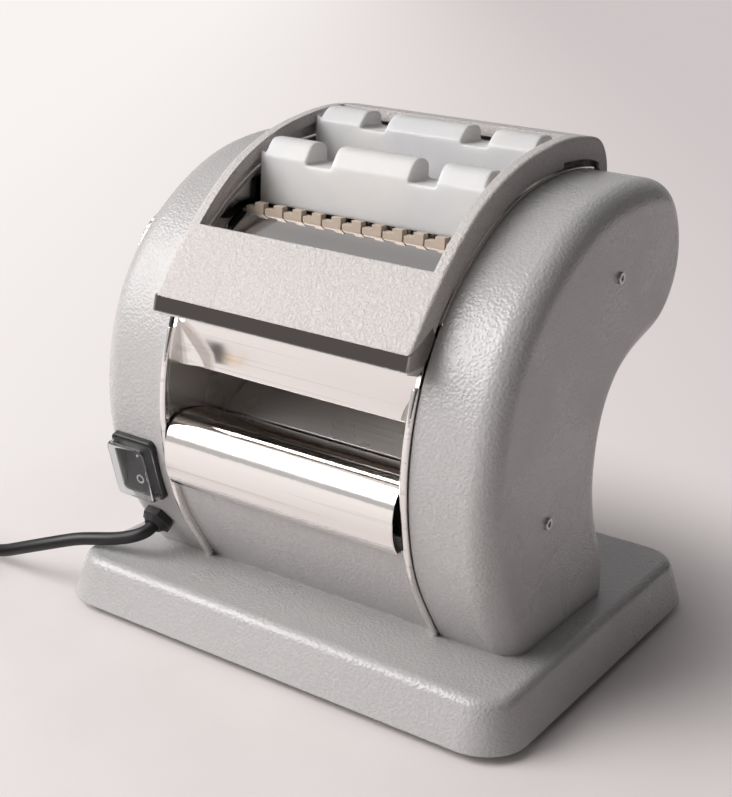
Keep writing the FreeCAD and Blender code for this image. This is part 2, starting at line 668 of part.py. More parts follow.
def side_guides():
    """Clear side cheeks of the feed slots, with the shelves that the guards stand on."""
    x = (PLATE_IN - GUIDE_T, PLATE_IN)
    cheek = slab(polygon([(-66.3, 230.6), (-57.7, 236.1), (-50.7, 238.4), (-38.1, 238.4), (-36.7, 248.9),
                          (-10.0, 252.0), (12.0, 258.0), (46.0, GUIDE_TOP), (58.0, 252.0),
                          (58.0, 241.0), (10.0, 237.0), (-14.0, 229.0), (-50.0, 229.0), (-50.0, 233.4),
                          (-60.0, 229.4)]), x)
    shelf_x = (GUARD_X - 3.2, PLATE_IN - GUIDE_T)
    shelves = [box(shelf_x, (g[0] + 2.0, g[1] - 2.0), (g[2] - GUARD_REST - 1.8, g[2] - GUARD_REST))
               for g in (FRONT_GUARD, REAR_GUARD)]
    return both_sides(fuse([cheek] + shelves))


def comb_cells(pitch):
    """Left edges of the cells of a comb that fit between the rollers' ends."""
    count = int(2 * (CUTTER_HALF - 2.0) / pitch)
    return [(i - count / 2) * pitch for i in range(count)]


def feed_comb():
    """Stepped plastic comb behind the front feed slot."""
    low, step, top = COMB_Z
    y = (COMB_FACE_Y, COMB_BACK_Y)
    pieces = [box(span(PLATE_IN - GUIDE_T), (COMB_FACE_Y + 1.5, COMB_BACK_Y), (low, step - 2.5))]
    for x in comb_cells(WIDE_PITCH):
        middle = x + WIDE_PITCH / 2
        pieces.append(box((x + COMB_GAP / 2, middle), y, (low + 1.0, step)))
        pieces.append(box((middle, x + WIDE_PITCH - COMB_GAP / 2), y, (low + 1.0, top)))
    return fuse(pieces)


# ---------------------------------------------------------------- rollers, cutters and their drive
def mesh_phase(gear_at, teeth, phase, mate_at, mate_teeth):
    """Angle of a tooth of the mate that meshes with a gear whose tooth stands at phase."""
    line = math.atan2(mate_at[1] - gear_at[1], mate_at[0] - gear_at[0])
    pitch = 2 * math.pi / teeth
    lead = (phase - line) % pitch
    return line + math.pi - lead * teeth / mate_teeth + math.pi / mate_teeth


def gear(teeth, module, x, at, bore, phase):
    """Spur gear with involute flanks on an axle along X."""
    pitch_r = teeth * module / 2
    base_r = pitch_r * math.cos(PRESSURE)
    root_r = pitch_r - 1.25 * module
    tip_r = pitch_r + module
    start_r = max(base_r, root_r)
    half = (1 - BACKLASH) * math.pi / (2 * teeth) + math.tan(PRESSURE) - PRESSURE

    def place(radius, angle):
        return V(x[0], at[0] + radius * math.cos(angle), at[1] + radius * math.sin(angle))

    def half_angle(radius):
        roll = math.sqrt(max((radius / base_r) ** 2 - 1, 0.0))
        return half - (roll - math.atan(roll))

    edges = []
    for i in range(teeth):
        middle = phase + 2 * math.pi * i / teeth
        gap = middle + math.pi / teeth
        following = middle + 2 * math.pi / teeth
        mid_r = (start_r + tip_r) / 2
        foot = half_angle(start_r)
        rise = [place(r, middle - half_angle(r)) for r in (start_r, mid_r, tip_r)]
        fall = [place(r, middle + half_angle(r)) for r in (tip_r, mid_r, start_r)]
        if start_r > root_r:
            edges.append(Part.makeLine(place(root_r, middle - foot), rise[0]))
        edges.append(Part.Arc(rise[0], rise[1], rise[2]).toShape())
        edges.append(Part.Arc(rise[2], place(tip_r, middle), fall[0]).toShape())
        edges.append(Part.Arc(fall[0], fall[1], fall[2]).toShape())
        if start_r > root_r:
            edges.append(Part.makeLine(fall[2], place(root_r, middle + foot)))
        edges.append(Part.Arc(place(root_r, middle + foot), place(root_r, gap),
                              place(root_r, following - foot)).toShape())
    blank = Part.Face(Part.Wire(edges)).extrude(V(x[1] - x[0], 0, 0))
    return blank.cut(rod((x[0] - 1, x[1] + 1), at, bore))


def sheeting_roller(at, right_end):
    body = rod(span(ROLLER_HALF), at, SHEET_R)
    return fuse([body, rod((AXLE_LEFT, right_end), at, JOURNAL_R)])


def ridge_starts(pitch, shift):
    """Left ends of a cutter's ridges."""
    ridge = pitch / 2
    starts = [x + shift for x in comb_cells(pitch)]
    return [(x + RIDGE_PLAY / 2, x + ridge - RIDGE_PLAY / 2) for x in starts]


def cutter(at, pitch, shift, right_end):
    """Grooved cutting roller; the ridges of a pair interleave."""
    outline_points = [(-CUTTER_HALF, 0.0), (-CUTTER_HALF, CUTTER_GROOVE_R)]
    for left, right in ridge_starts(pitch, shift):
        outline_points += [(left, CUTTER_GROOVE_R), (left, CUTTER_R), (right, CUTTER_R),
                           (right, CUTTER_GROOVE_R)]
    outline_points += [(CUTTER_HALF, CUTTER_GROOVE_R), (CUTTER_HALF, 0.0)]
    places = [V(x, at[0] + r, at[1]) for x, r in outline_points + outline_points[:1]]
    body = Part.Face(Part.makePolygon(places)).revolve(V(0, at[0], at[1]), V(1, 0, 0), 360)
    return fuse([body, rod((AXLE_LEFT, right_end), at, CUTTER_JOURNAL_R)])


def stripper_comb(at, pitch, shift, towards):
    """Comb whose fingers lie in the grooves of a cutter, under it."""
    y, z = at
    bar_y = sorted((y + towards * (CUTTER_R + COMB_CLEAR), y + towards * (CUTTER_R + COMB_CLEAR + COMB_BAR_W)))
    low = z - CUTTER_R - COMB_FINGER_DROP
    bar = box(span(PLATE_IN), bar_y, (low, low + COMB_BAR_H))
    width = pitch / 2 - 2 * RIDGE_PLAY - 0.2
    free = rod(span(PLATE_IN + 1), at, CUTTER_GROOVE_R + 0.4)
    finger_y = sorted((y - towards * 2.0, y + towards * (CUTTER_R + COMB_CLEAR)))
    fingers = []
    for x in comb_cells(pitch):
        left = x + shift + (pitch / 2 - width) / 2
        fingers.append(box((left, left + width), finger_y, (low, low + COMB_BAR_H - 1.5)))
    return bar.fuse(fingers).cut(free).removeSplitter()


def station_combs(front, rear, pitch):
    """Stripper combs of one cutting station, in the front cutter's and the rear cutter's grooves."""
    return Part.makeCompound([stripper_comb(front, pitch, 0.0, -1),
                              stripper_comb(rear, pitch, pitch / 2, 1)])


def roller_scrapers():
    """Blades that peel the sheet off both sheeting rollers."""
    blades = []
    for at, side in ((SHEET_FRONT, 1), (SHEET_REAR, -1)):
        tip_r = SHEET_R + 0.4
        tip = (at[0] + side * tip_r * 0.5, at[1] - tip_r * 0.866)
        low = (at[0] - side * 2.0, at[1] - SHEET_R - 10.0)
        blades.append(slab(polygon([tip, (tip[0] - side * 1.2, tip[1] - 0.8), (low[0] - side * 1.2, low[1]),
                                    low]), span(ROLLER_HALF)))
        blades.append(box(span(PLATE_IN), (low[0] - 2.5, low[0] + 2.5), (low[1] - 5.0, low[1])))
    return Part.makeCompound([fuse(blades[:2]), fuse(blades[2:])])


def bush(at, r, x_face, side, length):
    """Flanged bush; the flange lies against the plate on the inner side."""
    inner = (x_face - BUSH_FLANGE, x_face)
    sleeve = (x_face, x_face + length)
    whole = rod(inner, at, r + BUSH_WALL + 1.5).fuse(rod(sleeve, at, r + BUSH_WALL))
    whole = whole.cut(rod((inner[0] - 1, sleeve[1] + 1), at, r + RUN_PLAY))
    return whole if side > 0 else mirrored(whole)


def shaft_bushes():
    bushes = []
    for at, outer in fixed_axes():
        for side in (-1, 1):
            bushes.append(bush(at, outer - BUSH_WALL, PLATE_IN, side, PLATE_T))
    knob_x = (CASING_OUT - CASING_WALL - 14.0, CASING_OUT)
    collar = rod((knob_x[0], CASING_OUT - CASING_WALL), SHEET_FRONT, CAM_SHAFT_R + BUSH_WALL + 1.5)
    collar = collar.fuse(rod(knob_x, SHEET_FRONT, CAM_SHAFT_R + BUSH_WALL))
    collar = collar.cut(rod((knob_x[0] - 1, knob_x[1] + 1), SHEET_FRONT, CAM_SHAFT_R + RUN_PLAY))
    return Part.makeCompound(bushes + [mirrored(collar)])


def gear_plate():
    """Outboard plate that carries the far ends of the driven shafts."""
    plate = slab(polygon(GEAR_PLATE), GEAR_PLATE_X)
    upright = [e for e in plate.Edges if e.BoundBox.XLength > 1.0]
    plate = plate.makeFillet(6.0, upright)
    ends = [(SHEET_REAR, JOURNAL_R), (WIDE_REAR, CUTTER_JOURNAL_R), (NARROW_FRONT, CUTTER_JOURNAL_R),
            (PINION, CUTTER_JOURNAL_R)]
    holes = [rod((GEAR_PLATE_X[0] - 1, GEAR_PLATE_X[1] + 1), at, r + RUN_PLAY) for at, r in ends]
    return plate.cut(Part.makeCompound(holes))


def cluster(teeth, module, x, at, bore, phase, main_teeth, main_phase):
    """Two gears on one hub."""
    small = gear(teeth, module, x, at, bore, phase)
    hub = rod((x[1], MAIN_GEAR_X[0]), at, teeth * module / 2 - 2.0 * module)
    hub = hub.cut(rod((x[1] - 1, MAIN_GEAR_X[0] + 1), at, bore))
    large = gear(main_teeth, MAIN_MODULE, MAIN_GEAR_X, at, bore, main_phase)
    return small.fuse([hub, large])


def pinion_shaft(phase):
    """Lay shaft with its pinion, carried in the side plate and the gear plate."""
    shaft = rod((PLATE_IN + 0.5, PULLEY_X[1]), PINION, CUTTER_JOURNAL_R)
    shaft = shaft.cut(rod((MAIN_GEAR_X[0], MAIN_GEAR_X[1]), PINION, CUTTER_JOURNAL_R))
    teeth = gear(PINION_TEETH, MAIN_MODULE, MAIN_GEAR_X, PINION, 1.0, phase)
    core = rod(MAIN_GEAR_X, PINION, 1.0)
    return fuse([shaft, teeth, core])


def pulley(at, r, bore):
    """Flat belt pulley with two lips."""
    lip = 1.0
    body = rod(PULLEY_X, at, r)
    lips = [rod((PULLEY_X[0], PULLEY_X[0] + lip), at, r + PULLEY_LIP),
            rod((PULLEY_X[1] - lip, PULLEY_X[1]), at, r + PULLEY_LIP)]
    whole = fuse([body] + lips).cut(rod((PULLEY_X[0] - 1, PULLEY_X[1] + 1), at, bore))
    if r > 20.0:
        ring = r - 6.0
        holes = [rod((PULLEY_X[0] - 1, PULLEY_X[1] + 1),
                     (at[0] + 0.6 * ring * math.cos(a), at[1] + 0.6 * ring * math.sin(a)), 0.3 * ring)
                 for a in [2 * math.pi * i / 5 for i in range(5)]]
        whole = whole.cut(Part.makeCompound(holes))
    return whole


def drive_belt():
    """Belt round the two pulleys, just clear of them."""
    def loop(grow):
        big = DRIVEN_PULLEY_R + BELT_GAP + grow
        small = MOTOR_PULLEY_R + BELT_GAP + grow
        dy = MOTOR[0] - PINION[0]
        dz = MOTOR[1] - PINION[1]
        distance = math.hypot(dy, dz)
        lean = math.atan2(dz, dy)
        open_angle = math.acos((big - small) / distance)

        def at(centre, r, angle):
            return V(0, centre[0] + r * math.cos(angle), centre[1] + r * math.sin(angle))
        a, b = lean + open_angle, lean - open_angle
        edges = [Part.Arc(at(PINION, big, a), at(PINION, big, lean + math.pi), at(PINION, big, b)).toShape(),
                 Part.makeLine(at(PINION, big, b), at(MOTOR, small, b)),
                 Part.Arc(at(MOTOR, small, b), at(MOTOR, small, lean), at(MOTOR, small, a)).toShape(),
                 Part.makeLine(at(MOTOR, small, a), at(PINION, big, a))]
        return Part.Wire(edges)
    x = (PULLEY_X[0] + 1.3, PULLEY_X[1] - 1.3)
    return slab(loop(BELT_T), x).cut(slab(loop(0.0), (x[0] - 1, x[1] + 1)))


# ---------------------------------------------------------------- motor
def motor_body():
    wall = 4.0
    shell = rod((MOTOR_X[0], MOTOR_X[1] - 6.0), MOTOR, MOTOR_R)
    flange = box((MOTOR_X[1] - 6.0, MOTOR_X[1]), (MOTOR[0] - MOTOR_R, MOTOR[0] + MOTOR_R),
                 (MOTOR[1] - MOTOR_R, MOTOR[1] + MOTOR_R))
    corners = [e for e in flange.Edges if e.BoundBox.XLength > 1.0]
    flange = flange.makeFillet(10.0, corners)
    body = shell.fuse(flange)
    body = body.cut(rod((MOTOR_X[0] + wall, MOTOR_X[1] - 6.0), MOTOR, MOTOR_R - wall))
    body = body.cut(rod((MOTOR_X[0] - 1, MOTOR_X[1] + 1), MOTOR, MOTOR_SHAFT_R + RUN_PLAY))
    grooves = [box((MOTOR_X[0] + 14.0 + i * 9.0, MOTOR_X[0] + 18.0 + i * 9.0), (MOTOR[0] - 40, MOTOR[0] + 40),
                   (MOTOR[1] - 40, MOTOR[1] + 40)) for i in range(7)]
    sleeve = rod((MOTOR_X[0], MOTOR_X[1] - 8.0), MOTOR, MOTOR_R + 2)
    sleeve = sleeve.cut(rod((MOTOR_X[0] - 1, MOTOR_X[1]), MOTOR, MOTOR_R - 1.5))
    return body.cut(Part.makeCompound([g.common(sleeve) for g in grooves]))


def motor_rotor():
    """Shaft, rotor core and cooling fan."""
    shaft = rod((MOTOR_X[0] - 17.0, PULLEY_X[1]), MOTOR, MOTOR_SHAFT_R)
    core = rod((MOTOR_X[0] + 18.0, MOTOR_X[1] - 24.0), MOTOR, MOTOR_R - 9.0)
    hub = rod((MOTOR_X[0] - 15.0, MOTOR_X[0] - 3.0), MOTOR, 9.0)
    disc = rod((MOTOR_X[0] - 5.0, MOTOR_X[0] - 3.0), MOTOR, MOTOR_R - 6.0)
    blades = []
    for i in range(7):
        blade = box((MOTOR_X[0] - 14.0, MOTOR_X[0] - 3.0), (-1.0, 1.0), (7.0, MOTOR_R - 6.5))
        blade.rotate(V(0, 0, 0), V(1, 0, 0), 360.0 * i / 7)
        blade.translate(V(0, MOTOR[0], MOTOR[1]))
        blades.append(blade)
    return fuse([shaft, core, hub, disc] + blades)


def run_capacitor():
    x, y, r, height = CAPACITOR
    can = post((x, y), (DECK, DECK + height), r)
    top = [e for e in can.Edges if e.BoundBox.ZMin > DECK + height - 0.1]
    can = can.makeFillet(2.0, top)
    tags = [box((x - 4.5 + d, x - 3.5 + d), (y - 3.0, y + 3.0), (DECK + height - 1, DECK + height + 8))
            for d in (0.0, 8.0)]
    return fuse([can] + tags)


# ---------------------------------------------------------------- thickness setting
def roller_carriage():
    """Sliding frame with the bearings of the front sheeting roller and the cam follower."""
    y, z = SHEET_FRONT
    half = CARRIAGE_H / 2
    block = box((PLATE_IN - 1.6, PLATE_OUT + 1.4), (y - 10.2, y + 11.7), (z - half, z + half))
    arm = box((PLATE_IN - 1.6, PLATE_IN - 0.3), (y - 23.0, y - 8.0), (z - 4.0, z + 4.0))
    bar = box(span(PLATE_IN - 0.3), (y - 23.0, y - 18.5), (z - 4.0, z + 4.0))
    pin_y = y - CAM_R - CAM_GAP - CAM_PIN_R
    reach = box((-PLATE_OUT - 3.6, -PLATE_OUT - 1.4), (pin_y - CAM_PIN_R, y + 11.7), (z - 4.0, z + 4.0))
    follower = rod((CAM_X[0] - 1.0, -PLATE_OUT - 3.6), (pin_y, z), CAM_PIN_R)
    frame = fuse([block, mirrored(block), arm, mirrored(arm), bar, reach, follower])
    return frame.cut(rod(span(PLATE_OUT + 5), SHEET_FRONT, JOURNAL_R + RUN_PLAY))


def cam_radius(angle):
    """Radius of the spiral cam; angle in degrees from +Y towards +Z."""
    turned = min(max(180.0 - angle, 0.0), CAM_TURN)
    return CAM_R + CARRIAGE_TRAVEL * turned / CAM_TURN


def cam_shaft():
    """Knob spindle with the spiral cam that pushes the carriage."""
    def place(angle, r):
        turn = math.radians(angle)
        return (SHEET_FRONT[0] + r * math.cos(turn), SHEET_FRONT[1] + r * math.sin(turn))
    spiral = [place(a, cam_radius(a)) for a in range(180, 29, -15)]
    lead_in = [place(a, CAM_R) for a in (225, 210, 195, 180)]
    end = [place(a, cam_radius(30.0)) for a in (30, 0, -30, -60)]
    back = [end[-1], lead_in[0]]
    disc = slab(path(lead_in, spiral, end, back), CAM_X)
    spindle = rod((KNOB_X[0] + KNOB_GRIP, CAM_X[1]), SHEET_FRONT, CAM_SHAFT_R)
    return fuse([disc, spindle])


def adjusting_knob():
    """Turned metal knob: a finely notched rim on a narrower hub, with a pointer on its face."""
    rim_x = (KNOB_X[0], KNOB_X[0] + KNOB_RIM_W)
    rim = rod(rim_x, SHEET_FRONT, KNOB_R)
    rim = rim.makeFillet(KNOB_EDGE_R, [e for e in rim.Edges if e.BoundBox.XLength < 0.1])
    notches = []
    for i in range(KNOB_NOTCHES):
        turn = 2 * math.pi * (i + 0.5) / KNOB_NOTCHES
        r = KNOB_R + KNOB_NOTCH_R - KNOB_NOTCH_DEPTH
        at = (SHEET_FRONT[0] + r * math.cos(turn), SHEET_FRONT[1] + r * math.sin(turn))
        notches.append(rod((rim_x[0] - 1, rim_x[1] + 1), at, KNOB_NOTCH_R))
    rim = rim.cut(Part.makeCompound(notches))
    hub = rod((rim_x[1] - 1.0, KNOB_X[1]), SHEET_FRONT, KNOB_HUB_R)
    y, z = SHEET_FRONT
    pointer = box((KNOB_X[0] - POINTER_RISE, KNOB_X[0] + 1.0), (y - POINTER_W / 2, y + POINTER_W / 2),
                  (z + KNOB_R / 3, z + KNOB_R - KNOB_EDGE_R - 1.0))
    knob = fuse([rim, hub, pointer])
    return knob.cut(rod((KNOB_X[0] + KNOB_GRIP, KNOB_X[1] + 1), SHEET_FRONT, CAM_SHAFT_R))


# ---------------------------------------------------------------- switch, gland and cord
def seated(shape, at, tilt):
    """Turn a shape drawn facing +Z about X by tilt, and move it to its place."""
    placed = shape.copy()
    placed.rotate(V(0, 0, 0), V(1, 0, 0), tilt)
    placed.translate(V(*at))
    return placed


def rounded_plate(w, h, z, r):
    block = box(span(w / 2), span(h / 2), z)
    upright = [e for e in block.Edges if abs(e.Vertexes[0].Z - e.Vertexes[1].Z) > 0.1]
    return block.makeFillet(r, upright)


def switch_hole():
    return seated(rounded_plate(SWITCH_W, SWITCH_H, (-15.0, 12.0), 4.0), SWITCH_AT, SWITCH_TILT)


def switch_bezel():
    frame = rounded_plate(SWITCH_W, SWITCH_H, (-6.0, SWITCH_PROUD), 4.0)
    rim = [e for e in frame.Edges if e.BoundBox.ZMin > SWITCH_PROUD - 0.01]
    frame = frame.makeFillet(1.2, rim)
    can = rounded_plate(ROCKER_W + 4.0, ROCKER_H + 4.0, (-SWITCH_DEPTH, -5.9), 1.0)
    well = box(span(ROCKER_W / 2 + 0.3), span(ROCKER_H / 2 + 0.3), (-9.0, SWITCH_PROUD + 1))
    tags = [box((x - 0.4, x + 0.4), span(3.0), (-SWITCH_DEPTH - 8.0, -SWITCH_DEPTH + 0.5)) for x in (-6.0, 6.0)]
    pivot = rod(span(ROCKER_W / 2 + ROCKER_PIN_L + 0.3), (0.0, 0.0), ROCKER_PIN_R + RUN_PLAY)
    whole = frame.fuse([can] + tags).cut(well).cut(pivot)
    return seated(whole, SWITCH_AT, SWITCH_TILT)


def switch_rocker():
    """Rocker resting in its off position; it turns about X through its pivot."""
    half = ROCKER_H / 2
    face = Part.makePolygon([V(0, -half, -1.5), V(0, -half, 1.6), V(0, 0.0, 0.4), V(0, half, 1.6),
                             V(0, half, -1.5), V(0, 4.0, -5.0), V(0, -4.0, -5.0), V(0, -half, -1.5)])
    body = Part.Face(face)
    body.translate(V(-ROCKER_W / 2, 0, 0))
    rocker = body.extrude(V(ROCKER_W, 0, 0))
    mark_i = box(span(0.7), (6.0, 11.0), (0.4, 1.9))
    ring = post((0.0, -8.5), (0.4, 1.9), 2.8).cut(post((0.0, -8.5), (0.0, 3.0), 1.8))
    end = ROCKER_W / 2
    pins = [rod(x, (0.0, 0.0), ROCKER_PIN_R) for x in
            ((-end - ROCKER_PIN_L, -end), (end, end + ROCKER_PIN_L))]
    rocker = fuse([rocker, mark_i, ring] + pins)
    rocker.rotate(V(0, 0, 0), V(1, 0, 0), -ROCKER_ANGLE)
    return seated(rocker, SWITCH_AT, SWITCH_TILT)


def switch_cover():
    """Soft clear cap clipped over the bezel."""
    outer = rounded_plate(SWITCH_W - 2.6, SWITCH_H - 3.0, (SWITCH_PROUD, SWITCH_PROUD + COVER_RISE), 4.0)
    top = [e for e in outer.Edges if e.BoundBox.ZMin > SWITCH_PROUD + COVER_RISE - 0.01]
    outer = outer.makeFillet(2.5, top)
    inner = rounded_plate(SWITCH_W - 2.6 - 2 * COVER_T, SWITCH_H - 3.0 - 2 * COVER_T,
                          (SWITCH_PROUD - 1, SWITCH_PROUD + COVER_RISE - COVER_T), 3.2)
    return seated(outer.cut(inner), SWITCH_AT, SWITCH_TILT)


def gland_hole():
    return seated(post((0.0, 0.0), (-12.0, 12.0), GLAND_R - 3.0), GLAND_AT, GLAND_TILT)


def cable_gland():
    """Threaded gland: lock nut inside, hexagon flange and a tapered sleeve outside."""
    hexagon = Part.makePolygon([V(GLAND_R * math.cos(math.pi * i / 3), GLAND_R * math.sin(math.pi * i / 3), 0)
                                for i in range(7)])
    flange = Part.Face(hexagon).extrude(V(0, 0, GLAND_NUT_T))
    nut = flange.copy()
    nut.translate(V(0, 0, -CASING_WALL - GLAND_NUT_T - 1.1))
    thread = post((0.0, 0.0), (-GLAND_IN, 1.0), GLAND_R - 3.0)
    sleeve = Part.makeCone(GLAND_R - 1.6, CORD_R + 1.6, GLAND_OUT - GLAND_NUT_T, V(0, 0, GLAND_NUT_T))
    bore = post((0.0, 0.0), (-GLAND_IN - 1, GLAND_OUT + 1), CORD_R)
    return seated(fuse([flange, nut, thread, sleeve]).cut(bore), GLAND_AT, GLAND_TILT)


def cord_path(points):
    """Wire of straight runs joined by tangent arcs, each as large as its runs allow."""
    places = [V(*p) for p in points]
    edges = []
    start = places[0]
    radii = []
    for before, corner, after in zip(places, places[1:], places[2:]):
        came = (corner - before).normalize()
        goes = (after - corner).normalize()
        turn = came.getAngle(goes)
        reach = 0.45 * min((corner - before).Length, (after - corner).Length)
        radii.append(reach / math.tan(turn / 2))
        first = corner - came * reach
        last = corner + goes * reach
        middle = corner + (goes - came).normalize() * (radii[-1] / math.cos(turn / 2) - radii[-1])
        edges.append(Part.makeLine(start, first))
        edges.append(Part.Arc(first, middle, last).toShape())
        start = last
    edges.append(Part.makeLine(start, places[-1]))
    print("cord radii", [round(r) for r in radii])
    return Part.Wire(edges)


def mains_cord():
    wire = cord_path(CORD_ROUTE)
    direction = V(*CORD_ROUTE[1]) - V(*CORD_ROUTE[0])
    section = Part.Wire([Part.makeCircle(CORD_R, V(*CORD_ROUTE[0]), direction)])
    tube = wire.makePipeShell([section], True, False)
    share = tube.Volume / (math.pi * CORD_R ** 2 * wire.Length)
    print("cord run", round(wire.Length, 1), "volume share", round(share, 4))
    return tube.cut(cord_coil()), wire.Length


def cord_coil():
    """Outer shape of the coiled length: a ring with rounded edges, lying on the floor."""
    half = COIL_ROWS * CORD_R
    height = 2 * CORD_R * (1 + math.sqrt(3) / 2)
    x, y = COIL_AT
    ring = post((x, y), (-FOOT_H, -FOOT_H + height), COIL_R + half)
    ring = ring.cut(post((x, y), (-FOOT_H - 1, 50.0), COIL_R - half))
    rims = [e for e in ring.Edges if e.BoundBox.ZLength < 0.1 and e.Length > 100.0]
    return ring.makeFillet(CORD_R - 0.4, rims)


def coil_tie():
    """Strap round the bundle of turns."""
    half = COIL_ROWS * CORD_R
    height = 2 * CORD_R * (1 + math.sqrt(3) / 2)
    x = (COIL_AT[0] - COIL_R - half, COIL_AT[0] - COIL_R + half)
    low = -FOOT_H
    y = (COIL_AT[1] - 5.0, COIL_AT[1] + 5.0)
    strap = box((x[0] - 1.0, x[1] + 1.2), y, (low, low + height + 1.2))
    return strap.cut(cord_coil())


def plug_frame():
    """Start and direction of the plug beside the coil."""
    turn = math.radians(PLUG_ANGLE)
    r = COIL_R + CORD_R
    touch = V(COIL_AT[0] + r * math.cos(turn), COIL_AT[1] + r * math.sin(turn), -FOOT_H + PLUG_BODY[1] / 2)
    heading = V(-math.sin(turn), math.cos(turn), 0)
    away = math.sqrt((COIL_R + COIL_ROWS * CORD_R) ** 2 - r ** 2) - 4.0
    return touch + heading * away, PLUG_ANGLE + 90.0


def on_plug(shape):
    """Place a shape drawn along +X from the cord's end onto the plug's axis."""
    start, turn = plug_frame()
    placed = shape.copy()
    placed.rotate(V(0, 0, 0), V(0, 0, 1), turn)
    placed.translate(start)
    return placed


def plug_body():
    width, height, length = PLUG_BODY
    boot = Part.makeCone(CORD_R + 1.2, 9.0, PLUG_BOOT, V(0, 0, 0), V(1, 0, 0))
    grip = box((PLUG_BOOT - 1.0, PLUG_BOOT + length), span(width / 2), span(height / 2))
    sides = [e for e in grip.Edges if e.BoundBox.XLength > 1.0]
    grip = grip.makeFillet(height / 2 - 1.0, sides)
    ends = [e for e in grip.Edges if e.BoundBox.XMax < PLUG_BOOT]
    grip = grip.makeFillet(3.0, ends)
    return on_plug(fuse([boot, grip])).cut(cord_coil())


def plug_pins():
    width, height, length = PLUG_BODY
    start = PLUG_BOOT + length
    pins = [Part.makeCylinder(2.4, 19.0, V(start, side * 9.5, 0), V(1, 0, 0)) for side in (-1, 1)]
    return on_plug(Part.makeCompound(pins))


# ---------------------------------------------------------------- build
def left_casing():
    body = mirrored(casing())
    body = body.cut(rod((-CASING_OUT - 1, -CASING_IN), SHEET_FRONT, CAM_SHAFT_R + BUSH_WALL))
    return body.cut(Part.makeCompound([switch_hole(), gland_hole()]))


def pinion_sleeve():
    """Long bush of the lay shaft in the right side plate, with its flange outside."""
    x = (PLATE_IN, MAIN_GEAR_X[0] - 0.8)
    sleeve = rod(x, PINION, CUTTER_JOURNAL_R + BUSH_WALL)
    flange = rod((PLATE_OUT, PLATE_OUT + BUSH_FLANGE), PINION, CUTTER_JOURNAL_R + BUSH_WALL + 1.5)
    return sleeve.fuse(flange).cut(rod((x[0] - 1, x[1] + 1), PINION, CUTTER_JOURNAL_R + RUN_PLAY))


def right_plate():
    holes = [rod((PLATE_IN - 1, PLATE_OUT + 1), PINION, CUTTER_JOURNAL_R + BUSH_WALL),
             rod((PLATE_IN - 1, PLATE_OUT + 1), MOTOR, MOTOR_SHAFT_R + 2.0)]
    return side_plate().cut(Part.makeCompound(holes))


def build():
    write("base_shell", base_shell())
    write("base_plate", base_plate())
    write("rubber_feet", rubber_feet())
    write("base_screws", base_screws())
    write("right_side_plate", right_plate())
    write("left_side_plate", mirrored(side_plate()))
    write("edge_trims", both_sides(edge_trim()))
    write("right_casing", casing())
    write("left_casing", left_casing())
    write("standoffs", standoffs())
    write("casing_screws", casing_screws())
    write("tie_rods", tie_rods())
    write("front_panel", front_panel())
    write("rear_panel", rear_panel())
    write("delivery_apron", delivery_apron())
    write("delivery_slide", delivery_slide())
    write("front_shroud", front_shroud())
    write("hood", hood())
    write("hood_band", hood_band())
    write("hinge_pins", hinge_pins())
    write("front_guard", feed_guard(FRONT_GUARD))
    write("rear_guard", feed_guard(REAR_GUARD))
    write("side_guides", side_guides())
    write("feed_comb", feed_comb())
    build_drive()
    write("motor_body", motor_body())
    write("motor_rotor", motor_rotor())
    write("run_capacitor", run_capacitor())
    write("roller_carriage", roller_carriage())
    write("cam_shaft", cam_shaft())
    write("adjusting_knob", adjusting_knob())
    write("switch_bezel", switch_bezel())
    write("switch_rocker", switch_rocker())
    write("switch_cover", switch_cover())
    write("cable_gland", cable_gland())
    tube, run = mains_cord()
    write("mains_cord", tube)
    write("cord_coil", cord_coil())
    write("coil_tie", coil_tie())
    write("plug_body", plug_body())
    write("plug_pins", plug_pins())
    print("coil turns", round((CORD_LENGTH - run) / (2 * math.pi * COIL_R), 2))


